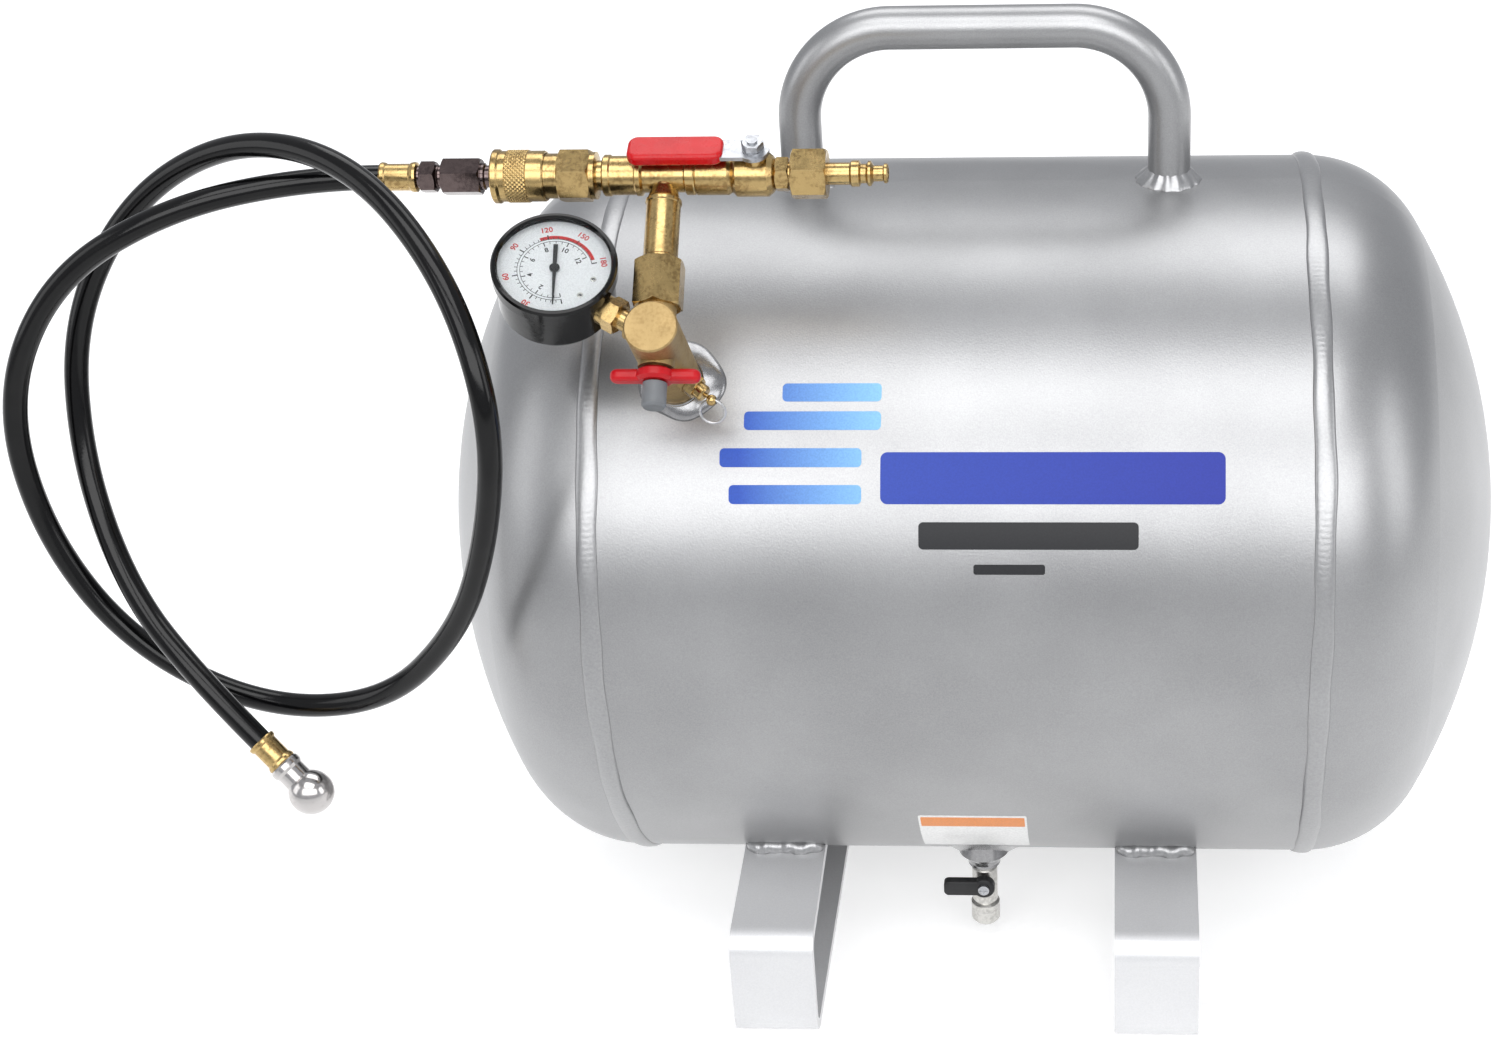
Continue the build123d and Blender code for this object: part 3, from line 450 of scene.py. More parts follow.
# %% The dial's own axes
needle_joint = next(joint for joint in frame["joints"] if joint["name"] == "needle_turn")
DIAL_CENTRE = np.array(needle_joint["pos_m"])
DIAL_OUT = -np.array(needle_joint["axis"])
PORT_ANGLE = math.radians(150)
DIAL_UP = np.array([math.cos(PORT_ANGLE), math.sin(PORT_ANGLE) * math.cos(MANIFOLD_LEAN),
                    math.sin(PORT_ANGLE) * math.sin(MANIFOLD_LEAN)])
DIAL_RIGHT = np.cross(DIAL_UP, DIAL_OUT)
CARD_LEVEL = -0.0034
INK = 0.00006
print("dial faces", DIAL_OUT.round(3), "its top is towards", DIAL_UP.round(3))


def on_dial(flat, level):
    """Dial coordinates (n, 2) in metres and a height above the dial plane, as places."""
    return DIAL_CENTRE + flat[:, :1] * DIAL_RIGHT + flat[:, 1:] * DIAL_UP + level * DIAL_OUT


def scale_angle(fraction):
    """Angle of a reading, as a fraction of full scale: 225 degrees less 270 a whole turn."""
    return np.radians(225 - 270 * np.asarray(fraction, dtype=float))


# %% Ticks and arcs
def tick_marks(fractions, inner, outer, width):
    """Thin blocks, one for each reading, from an inner to an outer radius."""
    angle = scale_angle(fractions)
    radial = np.stack([np.cos(angle), np.sin(angle)], axis=-1)
    across = np.stack([-np.sin(angle), np.cos(angle)], axis=-1) * width / 2
    flat = np.stack([radial * inner - across, radial * outer - across,
                     radial * outer + across, radial * inner + across], axis=1).reshape(-1, 2)
    points = np.concatenate([on_dial(flat, CARD_LEVEL - INK), on_dial(flat, CARD_LEVEL + INK)])
    base = np.arange(len(angle))[:, None, None] * 4
    top = 4 * len(angle)
    block = np.array([[3, 2, 1, 0], [top, top + 1, top + 2, top + 3],
                      [0, 1, top + 1, top], [1, 2, top + 2, top + 1],
                      [2, 3, top + 3, top + 2], [3, 0, top, top + 3]])
    return points, (base + block).reshape(-1, 4)


def arc_mark(start, end, inner, outer):
    """Flat bar bent round the dial: a rectangular section carried along an angle."""
    angle = scale_angle(np.linspace(start, end, 90))[:, None]
    radius = np.array([inner, outer, outer, inner])[None, :]
    level = np.array([-INK, -INK, INK, INK])[None, :] + CARD_LEVEL
    places = (DIAL_CENTRE + (radius * np.cos(angle))[..., None] * DIAL_RIGHT
              + (radius * np.sin(angle))[..., None] * DIAL_UP
              + (level + 0 * angle)[..., None] * DIAL_OUT)
    faces = ring_faces(90, 4, join_rows=False).tolist() + [[3, 2, 1, 0], [356, 357, 358, 359]]
    return places.reshape(-1, 3), faces


def joined(marks):
    """Several (points, faces) as one."""
    points, faces, first = [], [], 0
    for mark_points, mark_faces in marks:
        points.append(mark_points)
        faces += (np.asarray(mark_faces) + first).tolist()
        first += len(mark_points)
    return np.concatenate(points), faces


FULL_OUTER = 180.0
outer_fine = np.arange(0, 181, 5) / FULL_OUTER
outer_bold = np.arange(0, 181, 30) / FULL_OUTER
dial_ticks = add_piece("dial_ticks", *joined([
    tick_marks(outer_fine, 0.0150, 0.0163, 0.00026),
    tick_marks(outer_bold, 0.0150, 0.0173, 0.00050),
    arc_mark(0, 1, 0.0150, 0.01522),
]), "tank", "needle_black", 20)

FULL_INNER = 12.66
inner_fine = np.arange(0, 12.1, 0.5) / FULL_INNER
inner_bold = np.arange(0, 12.1, 2) / FULL_INNER
dial_fine = add_piece("dial_inner_ticks", *joined([
    tick_marks(inner_fine, 0.0128, 0.0139, 0.00022),
    tick_marks(inner_bold, 0.0121, 0.0139, 0.00042),
    arc_mark(0, 12 / FULL_INNER, 0.0139, 0.01410),
]), "tank", "needle_black", 20)

danger_arc = add_piece("dial_arc", *arc_mark(112 / FULL_OUTER, 176 / FULL_OUTER, 0.0153, 0.0167),
                       "tank", "red_plastic", 20)

# %% Numbers
def number_points(text, fraction, radius, height):
    """One number as (points, faces): a text curve made a mesh, centred, then turned so that
    its foot points at the needle's centre and laid on the card."""
    curve = bpy.data.curves.new("number", "FONT")
    curve.body = text
    curve.size = height
    curve.align_x = "CENTER"
    curve.align_y = "CENTER"
    curve.extrude = INK
    curve.offset = 0.00007
    curve.resolution_u = 4
    holder = bpy.data.objects.new("number", curve)
    bpy.context.scene.collection.objects.link(holder)
    depsgraph = bpy.context.evaluated_depsgraph_get()
    mesh = bpy.data.meshes.new_from_object(holder.evaluated_get(depsgraph))
    places = np.empty(len(mesh.vertices) * 3)
    mesh.vertices.foreach_get("co", places)
    places = places.reshape(-1, 3)
    faces = [list(face.vertices) for face in mesh.polygons]
    bpy.data.objects.remove(holder)
    angle = float(scale_angle(fraction))
    lean = angle - math.pi / 2
    turn = np.array([[math.cos(lean), math.sin(lean)], [-math.sin(lean), math.cos(lean)]])
    flat = places[:, :2] @ turn + radius * np.array([math.cos(angle), math.sin(angle)])
    return on_dial(flat, CARD_LEVEL) + places[:, 2:] * DIAL_OUT, faces


def number_set(name, texts, fractions, radius, height, slot_name):
    """Several numbers as one object."""
    points, faces, first = [], [], 0
    for text, fraction in zip(texts, fractions):
        number, number_faces = number_points(text, fraction, radius, height)
        points.append(number)
        faces += [[corner + first for corner in face] for face in number_faces]
        first += len(number)
    return add_piece(name, np.concatenate(points), faces, "tank", slot_name, 20)


outer_values = [30, 60, 90, 120, 150, 180]
outer_numbers = number_set("dial_outer_numbers", [str(value) for value in outer_values],
                           [value / FULL_OUTER for value in outer_values], 0.0198, 0.0034,
                           "red_plastic")
inner_values = [2, 4, 6, 8, 10, 12]
inner_numbers = number_set("dial_inner_numbers", [str(value) for value in inner_values],
                           [value / FULL_INNER for value in inner_values], 0.0101, 0.0031,
                           "needle_black")

# %% [markdown]
# ## Eyelets of the dial
#
# Two hollow rivets hold the card to the movement, on the side of the stem. Each is a rolled
# rim, so it is a small ring of round section. The dark hole in the middle is painted shade: a
# second, black ring fills the hole where shade falls.

# %% Eyelets
def eyelet_points(angle_degrees, middle, rim, level):
    """Ring of round section at 16.4 mm from the needle's centre: circle round a circle."""
    centre = 0.0164 * np.array([math.cos(math.radians(angle_degrees)),
                                math.sin(math.radians(angle_degrees))])
    turn = np.linspace(0, 2 * np.pi, 40, endpoint=False)[:, None]
    section = np.linspace(0, 2 * np.pi, 12, endpoint=False)[None, :]
    radius = middle + rim * np.cos(section)
    flat = np.stack([centre[0] + radius * np.cos(turn), centre[1] + radius * np.sin(turn)], -1)
    height = level + rim * np.sin(section) + 0 * turn
    places = (DIAL_CENTRE + flat[..., :1] * DIAL_RIGHT + flat[..., 1:] * DIAL_UP
              + height[..., None] * DIAL_OUT)
    return places.reshape(-1, 3), ring_faces(40, 12)


eyelets = add_piece("dial_eyelets", *joined([
    eyelet_points(253.5, 0.00092, 0.00034, CARD_LEVEL),
    eyelet_points(286.5, 0.00092, 0.00034, CARD_LEVEL),
]), "tank", "nickel", 60)
# Painted shade: a black ring set into each eyelet's hole stands in for the shade inside it.
eyelet_shade_rings = add_piece("dial_eyelet_painted_shade", *joined([
    eyelet_points(253.5, 0.00035, 0.00030, CARD_LEVEL - 0.0002),
    eyelet_points(286.5, 0.00035, 0.00030, CARD_LEVEL - 0.0002),
]), "tank", "needle_black", 60)

# %% [markdown]
# ## Labels
#
# The shell carries a film label on its front and a paper sticker over the drain. Both are
# plain here: straight bars and plain bands, no lettering and no mark. A label is a patch of
# the cylinder a tenth of a millimetre proud, with rounded corners, given a real thickness.

# %% Patch on the shell
def shell_patch(name, left, right, low_angle, high_angle, corner, slot_name, proud=0.00012):
    """Rounded rectangle on the cylinder. Rows run up an angle; each row's ends draw in near
    the top and bottom by corner less the square root of corner squared less depth squared."""
    height = TANK_RADIUS * math.radians(high_angle - low_angle)
    climb = 0.5 - 0.5 * np.cos(np.linspace(0, np.pi, 40))[:, None]
    depth = np.clip(corner - np.minimum(climb, 1 - climb) * height, 0, corner)
    inset = corner - np.sqrt(np.clip(corner ** 2 - depth ** 2, 0, None))
    walk = np.linspace(0, 1, 60)[None, :]
    across = (left + inset) + (right - left - 2 * inset) * walk
    angle = np.radians(low_angle + (high_angle - low_angle) * climb) + 0 * walk
    radius = TANK_RADIUS + proud
    grid = np.stack([across, -radius * np.cos(angle), TANK_HEIGHT + radius * np.sin(angle)], -1)
    top = grid.reshape(-1, 3)
    inward = np.stack([0 * top[:, 0], top[:, 1], top[:, 2] - TANK_HEIGHT], -1)
    under = top - inward / radius * 0.0003
    quads = ring_faces(40, 60, join_rows=False).reshape(39, 60, 4)[:, :59].reshape(-1, 4)
    rim = np.concatenate([np.arange(60), np.arange(2, 40) * 60 - 1,
                          np.arange(2399, 2339, -1), np.arange(38, 0, -1) * 60])
    walls = np.stack([rim, np.roll(rim, -1), np.roll(rim, -1) + 2400, rim + 2400], -1)
    faces = np.concatenate([quads, (quads + 2400)[:, ::-1], walls])
    return add_piece(name, np.concatenate([top, under]), faces, "tank", slot_name, 30)


label_wide = shell_patch("label_wide_bar", -0.030, 0.114, 28.0, 35.6, 0.003, "red_plastic")
label_sky = [
    shell_patch("label_short_bar_top", -0.072, -0.030, 43.2, 46.0, 0.002, "red_plastic"),
    shell_patch("label_short_bar_upper", -0.088, -0.030, 38.9, 41.7, 0.002, "red_plastic"),
    shell_patch("label_short_bar_lower", -0.098, -0.038, 33.4, 36.2, 0.002, "red_plastic"),
    shell_patch("label_short_bar_low", -0.094, -0.038, 28.0, 30.8, 0.002, "red_plastic"),
]
label_dark = [
    shell_patch("label_dark_bar", -0.014, 0.078, 21.4, 25.4, 0.002, "black_plastic"),
    shell_patch("label_thin_bar", 0.009, 0.039, 17.7, 19.2, 0.001, "black_plastic"),
]
sticker_paper = shell_patch("drain_sticker", -0.0205, 0.0285, -47.5, -30.4, 0.001, "dial_white")
sticker_band = shell_patch("drain_sticker_band", -0.0195, 0.0275, -34.6, -31.0, 0.0006,
                           "red_plastic", 0.00024)

# %% [markdown]
# ## Finishes
#
# Each make-up below is one function, because real finishes share one: silver paint, turned
# metal, moulded plastic, ink. Inside, every node is written out. Patterns read Object
# coordinates, which are metres of the real object, so a scale of 900 means grain a millimetre
# or so across. Numbers that hold all over a surface sit on the shader's own sockets.

# %% Laying the nodes out
def lay_out(node_list, left, top, step=190):
    """Places nodes in a row, left to right."""
    for place, node in enumerate(node_list):
        node.location = (left + step * place, top)


def fresh_material(name):
    """A material whose tree is empty."""
    material = bpy.data.materials.new(name)
    material.use_nodes = True
    material.node_tree.nodes.clear()
    return material


# %% [markdown]
# ### Silver paint
#
# Aluminium paint is flakes lying at slightly different angles in lacquer. Up close that is a
# fine sparkle of light and dark grains; from further off it is a satin sheen whose width
# changes a little over the sprayed surface. Fine noise makes the flakes, slow noise makes
# the spray's unevenness, and a faint bump breaks up the highlight.

# %% Silver paint
def silver_paint(name, light, dark, roughness, metallic, coat, grain_scale, grain_depth):
    material = fresh_material(name)
    nodes_ = material.node_tree.nodes
    links = material.node_tree.links

    flake_frame = nodes_.new("NodeFrame")
    flake_frame.label = "Flakes: colour"
    spray_frame = nodes_.new("NodeFrame")
    spray_frame.label = "Spray: gloss"
    relief_frame = nodes_.new("NodeFrame")
    relief_frame.label = "Grain: relief"

    place = nodes_.new("ShaderNodeTexCoord")
    place.label = "Metres on the object"
    flakes = nodes_.new("ShaderNodeTexNoise")
    flakes.label = "Single flakes"
    flakes.parent = flake_frame
    cloud = nodes_.new("ShaderNodeTexNoise")
    cloud.label = "Uneven coats"
    cloud.parent = flake_frame
    flake_spread = nodes_.new("ShaderNodeMapRange")
    flake_spread.label = "How far flakes differ"
    flake_spread.parent = flake_frame
    blend = nodes_.new("ShaderNodeMath")
    blend.label = "Flakes over coats"
    blend.parent = flake_frame
    tone = nodes_.new("ShaderNodeValToRGB")
    tone.label = "Dark flake to light flake"
    tone.parent = flake_frame
    spray = nodes_.new("ShaderNodeTexNoise")
    spray.label = "Passes of the spray gun"
    spray.parent = spray_frame
    gloss = nodes_.new("ShaderNodeMapRange")
    gloss.label = "Gloss from spray"
    gloss.parent = spray_frame
    skin = nodes_.new("ShaderNodeTexNoise")
    skin.label = "Grain you can feel"
    skin.parent = relief_frame
    relief = nodes_.new("ShaderNodeBump")
    relief.label = "Relief of the grain"
    relief.parent = relief_frame
    paint = nodes_.new("ShaderNodeBsdfPrincipled")
    paint.label = "Silver paint"
    output = nodes_.new("ShaderNodeOutputMaterial")
    output.label = "Surface"
    lay_out([flakes, flake_spread, blend, tone], -900, 300)
    lay_out([cloud], -900, 60)
    lay_out([spray, gloss], -900, -220)
    lay_out([skin, relief], -900, -500)
    place.location = (-1120, -100)
    paint.location = (0, 100)
    output.location = (300, 100)

    flakes.inputs["Scale"].default_value = grain_scale
    flakes.inputs["Detail"].default_value = 3.0
    flakes.inputs["Roughness"].default_value = 0.7
    cloud.inputs["Scale"].default_value = 14.0
    cloud.inputs["Detail"].default_value = 4.0
    flake_spread.inputs["From Min"].default_value = 0.3
    flake_spread.inputs["From Max"].default_value = 0.7
    flake_spread.inputs["To Min"].default_value = -0.22
    flake_spread.inputs["To Max"].default_value = 0.22
    blend.operation = "ADD"
    tone.color_ramp.elements[0].position = 0.1
    tone.color_ramp.elements[0].color = (*dark, 1.0)
    tone.color_ramp.elements[1].position = 0.9
    tone.color_ramp.elements[1].color = (*light, 1.0)
    spray.inputs["Scale"].default_value = 9.0
    spray.inputs["Detail"].default_value = 5.0
    gloss.inputs["From Min"].default_value = 0.3
    gloss.inputs["From Max"].default_value = 0.7
    gloss.inputs["To Min"].default_value = roughness - 0.02
    gloss.inputs["To Max"].default_value = roughness + 0.03
    skin.inputs["Scale"].default_value = grain_scale * 0.8
    skin.inputs["Detail"].default_value = 2.0
    relief.inputs["Strength"].default_value = grain_depth
    relief.inputs["Distance"].default_value = 0.0002
    paint.inputs["Metallic"].default_value = metallic
    paint.inputs["Coat Weight"].default_value = coat
    paint.inputs["Coat Roughness"].default_value = 0.12

    links.new(place.outputs["Object"], flakes.inputs["Vector"])
    links.new(place.outputs["Object"], cloud.inputs["Vector"])
    links.new(place.outputs["Object"], spray.inputs["Vector"])
    links.new(place.outputs["Object"], skin.inputs["Vector"])
    links.new(flakes.outputs["Fac"], flake_spread.inputs["Value"])
    links.new(flake_spread.outputs["Result"], blend.inputs[0])
    links.new(cloud.outputs["Fac"], blend.inputs[1])
    links.new(blend.outputs["Value"], tone.inputs["Fac"])
    links.new(tone.outputs["Color"], paint.inputs["Base Color"])
    links.new(spray.outputs["Fac"], gloss.inputs["Value"])
    links.new(gloss.outputs["Result"], paint.inputs["Roughness"])
    links.new(skin.outputs["Fac"], relief.inputs["Height"])
    links.new(relief.outputs["Normal"], paint.inputs["Normal"])
    links.new(paint.outputs["BSDF"], output.inputs["Surface"])
    print("silver paint:", name)
    return material


shell_paint = silver_paint("shell_paint", (0.41, 0.411, 0.415), (0.29, 0.291, 0.295),
                           0.36, 0.88, 0.08, 1500, 0.25)
# Painted light: the feet get a paler, less metallic copy of the shell paint, standing in for the
# light that falls on their upright fronts.
foot_paint_painted_light = silver_paint("foot_paint_painted_light", (0.70, 0.702, 0.71), (0.60, 0.602, 0.61),
                          0.38, 0.50, 0.10, 1300, 0.20)
bead_paint = silver_paint("bead_paint", (0.42, 0.421, 0.425), (0.31, 0.311, 0.315),
                          0.34, 0.88, 0.08, 900, 0.3)
pad_paint = silver_paint("pad_paint", (0.36, 0.36, 0.365), (0.22, 0.22, 0.225),
                         0.20, 0.85, 0.45, 500, 0.15)

# %% [markdown]
# ### Turned and plated metal
#
# Brass fittings are turned from bar and left bare, so they keep fine tool lines, and handling
# darkens them in patches. Plated steel has the same make-up with other colours: the lines
# are fainter and the patches are smudges. Patches mix two colours, the same patches dull the
# gloss, and stretched noise gives the tool lines.

# %% Turned metal
def turned_metal(name, clean, aged, aged_share, roughness, dulling, line_depth, metallic=1.0):
    material = fresh_material(name)
    nodes_ = material.node_tree.nodes
    links = material.node_tree.links

    patch_frame = nodes_.new("NodeFrame")
    patch_frame.label = "Handling: colour"
    gloss_frame = nodes_.new("NodeFrame")
    gloss_frame.label = "Handling: gloss"
    line_frame = nodes_.new("NodeFrame")
    line_frame.label = "Tool lines: relief"

    place = nodes_.new("ShaderNodeTexCoord")
    place.label = "Metres on the object"
    patches = nodes_.new("ShaderNodeTexNoise")
    patches.label = "Patches of tarnish"
    patches.parent = patch_frame
    specks = nodes_.new("ShaderNodeTexNoise")
    specks.label = "Specks of tarnish"
    specks.parent = patch_frame
    both = nodes_.new("ShaderNodeMath")
    both.label = "Specks gather in patches"
    both.parent = patch_frame
    share = nodes_.new("ShaderNodeMapRange")
    share.label = "Share of aged metal"
    share.parent = patch_frame
    colour = nodes_.new("ShaderNodeMix")
    colour.label = "Clean or aged metal"
    colour.parent = patch_frame
    smudges = nodes_.new("ShaderNodeTexNoise")
    smudges.label = "Finger smudges"
    smudges.parent = gloss_frame
    gloss = nodes_.new("ShaderNodeMapRange")
    gloss.label = "Gloss under smudges"
    gloss.parent = gloss_frame
    stretch = nodes_.new("ShaderNodeMapping")
    stretch.label = "Draw lines round the bar"
    stretch.parent = line_frame
    lines = nodes_.new("ShaderNodeTexNoise")
    lines.label = "Lines left by the tool"
    lines.parent = line_frame
    relief = nodes_.new("ShaderNodeBump")
    relief.label = "Depth of tool lines"
    relief.parent = line_frame
    metal = nodes_.new("ShaderNodeBsdfPrincipled")
    metal.label = "Bare or plated metal"
    output = nodes_.new("ShaderNodeOutputMaterial")
    output.label = "Surface"
    lay_out([patches, both, share, colour], -1000, 320)
    lay_out([specks], -1000, 80)
    lay_out([smudges, gloss], -1000, -180)
    lay_out([stretch, lines, relief], -1000, -460)
    place.location = (-1220, -60)
    metal.location = (0, 100)
    output.location = (300, 100)

    patches.inputs["Scale"].default_value = 95.0
    patches.inputs["Detail"].default_value = 5.0
    specks.inputs["Scale"].default_value = 700.0
    specks.inputs["Detail"].default_value = 3.0
    both.operation = "MULTIPLY"
    share.inputs["From Min"].default_value = 0.22
    share.inputs["From Max"].default_value = 0.38
    share.inputs["To Min"].default_value = 0.0
    share.inputs["To Max"].default_value = aged_share
    colour.data_type = "RGBA"
    colour.inputs["A"].default_value = (*clean, 1.0)
    colour.inputs["B"].default_value = (*aged, 1.0)
    smudges.inputs["Scale"].default_value = 160.0
    smudges.inputs["Detail"].default_value = 6.0
    gloss.inputs["From Min"].default_value = 0.3
    gloss.inputs["From Max"].default_value = 0.75
    gloss.inputs["To Min"].default_value = roughness
    gloss.inputs["To Max"].default_value = roughness + dulling
    stretch.inputs["Scale"].default_value = (5200.0, 240.0, 240.0)
    lines.inputs["Scale"].default_value = 1.0
    lines.inputs["Detail"].default_value = 2.0
    relief.inputs["Strength"].default_value = line_depth
    relief.inputs["Distance"].default_value = 0.0001
    metal.inputs["Metallic"].default_value = metallic

    links.new(place.outputs["Object"], patches.inputs["Vector"])
    links.new(place.outputs["Object"], specks.inputs["Vector"])
    links.new(place.outputs["Object"], smudges.inputs["Vector"])
    links.new(place.outputs["Object"], stretch.inputs["Vector"])
    links.new(stretch.outputs["Vector"], lines.inputs["Vector"])
    links.new(patches.outputs["Fac"], both.inputs[0])
    links.new(specks.outputs["Fac"], both.inputs[1])
    links.new(both.outputs["Value"], share.inputs["Value"])
    links.new(share.outputs["Result"], colour.inputs["Factor"])
    links.new(colour.outputs["Result"], metal.inputs["Base Color"])
    links.new(smudges.outputs["Fac"], gloss.inputs["Value"])
    links.new(gloss.outputs["Result"], metal.inputs["Roughness"])
    links.new(lines.outputs["Fac"], relief.inputs["Height"])
    links.new(relief.outputs["Normal"], metal.inputs["Normal"])
    links.new(metal.outputs["BSDF"], output.inputs["Surface"])
    print("metal:", name)
    return material


brass = turned_metal("brass_bare", (0.52, 0.37, 0.16), (0.26, 0.165, 0.065), 0.75, 0.18, 0.16, 0.10)
satin_brass = turned_metal("brass_satin", (0.42, 0.30, 0.14), (0.30, 0.20, 0.085), 0.60,
                           0.46, 0.14, 0.30)
chrome = turned_metal("chrome_bright", (0.56, 0.54, 0.53), (0.34, 0.31, 0.29), 0.45,
                      0.12, 0.12, 0.05)
dark_chrome = turned_metal("chrome_dark", (0.15, 0.115, 0.11), (0.06, 0.045, 0.045), 0.60,
                           0.12, 0.12, 0.10)
nickel = turned_metal("nickel_dull", (0.66, 0.65, 0.62), (0.38, 0.37, 0.35), 0.60, 0.24, 0.18, 0.20)
zinc_steel = turned_metal("zinc_steel", (0.46, 0.47, 0.49), (0.24, 0.245, 0.26), 0.70,
                          0.24, 0.20, 0.20)
spring_steel = turned_metal("spring_steel", (0.55, 0.55, 0.56), (0.25, 0.24, 0.23), 0.60,
                            0.25, 0.15, 0.10)

# %% [markdown]
# ### Vinyl, plastic, enamel and rubber
#
# All of these are a coloured mass under a skin. The skin is never quite smooth: dipped vinyl
# sags into soft waves, moulded plastic keeps the mould's grain, enamel has orange peel, and
# rubber hose carries a wrapped sheen. Two sizes of noise make the skin, a slower one shades
# the colour and scuffs the gloss.

# %% Moulded skin
def moulded_skin(name, colour_main, colour_worn, roughness, scuff, coat, wave_scale, wave_depth,
                 grain_scale):
    material = fresh_material(name)
    nodes_ = material.node_tree.nodes
    links = material.node_tree.links

    colour_frame = nodes_.new("NodeFrame")
    colour_frame.label = "Mass: colour"
    gloss_frame = nodes_.new("NodeFrame")
    gloss_frame.label = "Scuffs: gloss"
    skin_frame = nodes_.new("NodeFrame")
    skin_frame.label = "Skin: relief"

    place = nodes_.new("ShaderNodeTexCoord")
    place.label = "Metres on the object"
    shade = nodes_.new("ShaderNodeTexNoise")
    shade.label = "Slow change of shade"
    shade.parent = colour_frame
    shade_share = nodes_.new("ShaderNodeMapRange")
    shade_share.label = "Share of worn shade"
    shade_share.parent = colour_frame
    colour = nodes_.new("ShaderNodeMix")
    colour.label = "Main or worn shade"
    colour.parent = colour_frame
    scuffs = nodes_.new("ShaderNodeTexNoise")
    scuffs.label = "Scuffs and dust"
    scuffs.parent = gloss_frame
    gloss = nodes_.new("ShaderNodeMapRange")
    gloss.label = "Gloss left by scuffs"
    gloss.parent = gloss_frame
    waves = nodes_.new("ShaderNodeTexNoise")
    waves.label = "Soft waves of the skin"
    waves.parent = skin_frame
    grain = nodes_.new("ShaderNodeTexNoise")
    grain.label = "Fine grain of the skin"
    grain.parent = skin_frame
    wave_relief = nodes_.new("ShaderNodeBump")
    wave_relief.label = "Depth of waves"
    wave_relief.parent = skin_frame
    grain_relief = nodes_.new("ShaderNodeBump")
    grain_relief.label = "Depth of grain"
    grain_relief.parent = skin_frame
    mass = nodes_.new("ShaderNodeBsdfPrincipled")
    mass.label = "Coloured mass"
    output = nodes_.new("ShaderNodeOutputMaterial")
    output.label = "Surface"
    lay_out([shade, shade_share, colour], -900, 320)
    lay_out([scuffs, gloss], -900, 40)
    lay_out([waves, wave_relief], -900, -240)
    lay_out([grain, grain_relief], -900, -520)
    place.location = (-1120, -100)
    mass.location = (0, 100)
    output.location = (300, 100)

    shade.inputs["Scale"].default_value = 60.0
    shade.inputs["Detail"].default_value = 4.0
    shade_share.inputs["From Min"].default_value = 0.35
    shade_share.inputs["From Max"].default_value = 0.75
    colour.data_type = "RGBA"
    colour.inputs["A"].default_value = (*colour_main, 1.0)
    colour.inputs["B"].default_value = (*colour_worn, 1.0)
    scuffs.inputs["Scale"].default_value = 210.0
    scuffs.inputs["Detail"].default_value = 6.0
    gloss.inputs["From Min"].default_value = 0.35
    gloss.inputs["From Max"].default_value = 0.8
    gloss.inputs["To Min"].default_value = roughness
    gloss.inputs["To Max"].default_value = roughness + scuff
    waves.inputs["Scale"].default_value = wave_scale
    waves.inputs["Detail"].default_value = 1.0
    grain.inputs["Scale"].default_value = grain_scale
    grain.inputs["Detail"].default_value = 2.0
    wave_relief.inputs["Strength"].default_value = wave_depth
    wave_relief.inputs["Distance"].default_value = 0.0006
    grain_relief.inputs["Strength"].default_value = 0.15
    grain_relief.inputs["Distance"].default_value = 0.0001
    mass.inputs["Coat Weight"].default_value = coat
    mass.inputs["Coat Roughness"].default_value = 0.08
    mass.inputs["Specular IOR Level"].default_value = 0.3

    links.new(place.outputs["Object"], shade.inputs["Vector"])
    links.new(place.outputs["Object"], scuffs.inputs["Vector"])
    links.new(place.outputs["Object"], waves.inputs["Vector"])
    links.new(place.outputs["Object"], grain.inputs["Vector"])
    links.new(shade.outputs["Fac"], shade_share.inputs["Value"])
    links.new(shade_share.outputs["Result"], colour.inputs["Factor"])
    links.new(colour.outputs["Result"], mass.inputs["Base Color"])
    links.new(scuffs.outputs["Fac"], gloss.inputs["Value"])
    links.new(gloss.outputs["Result"], mass.inputs["Roughness"])
    links.new(waves.outputs["Fac"], wave_relief.inputs["Height"])
    links.new(grain.outputs["Fac"], grain_relief.inputs["Height"])
    links.new(wave_relief.outputs["Normal"], grain_relief.inputs["Normal"])
    links.new(grain_relief.outputs["Normal"], mass.inputs["Normal"])
    links.new(mass.outputs["BSDF"], output.inputs["Surface"])
    print("moulded:", name)
    return material


red_vinyl = moulded_skin("vinyl_red_dipped", (0.50, 0.002, 0.005), (0.36, 0.002, 0.004),
                         0.24, 0.12, 0.12, 130, 0.35, 1400)
red_plastic = moulded_skin("plastic_red", (0.48, 0.003, 0.008), (0.36, 0.002, 0.006),
                           0.30, 0.15, 0.05, 220, 0.15, 1800)
grey_plastic = moulded_skin("plastic_grey", (0.17, 0.18, 0.19), (0.11, 0.115, 0.12),
                            0.40, 0.15, 0.0, 220, 0.15, 1600)
black_enamel = moulded_skin("enamel_black", (0.002, 0.002, 0.0022), (0.005, 0.005, 0.005),
                            0.08, 0.10, 0.0, 350, 0.05, 1800)
black_plastic = moulded_skin("plastic_black", (0.014, 0.014, 0.015), (0.030, 0.030, 0.031),
                             0.32, 0.18, 0.0, 240, 0.15, 1900)
hose_rubber = moulded_skin("rubber_hose", (0.0015, 0.0015, 0.0018), (0.004, 0.004, 0.004),
                           0.11, 0.10, 0.0, 75, 0.12, 900)

# %% [markdown]
# ### Card, ink and film
#
# The dial card, its inks and the films on the shell are thin matt or satin layers whose
# colour is nearly even. What tells them from flat paint is a little fibre or screen grain,
# and on the small blue bars a fade from pale to deep, which a ramp along the tank gives.

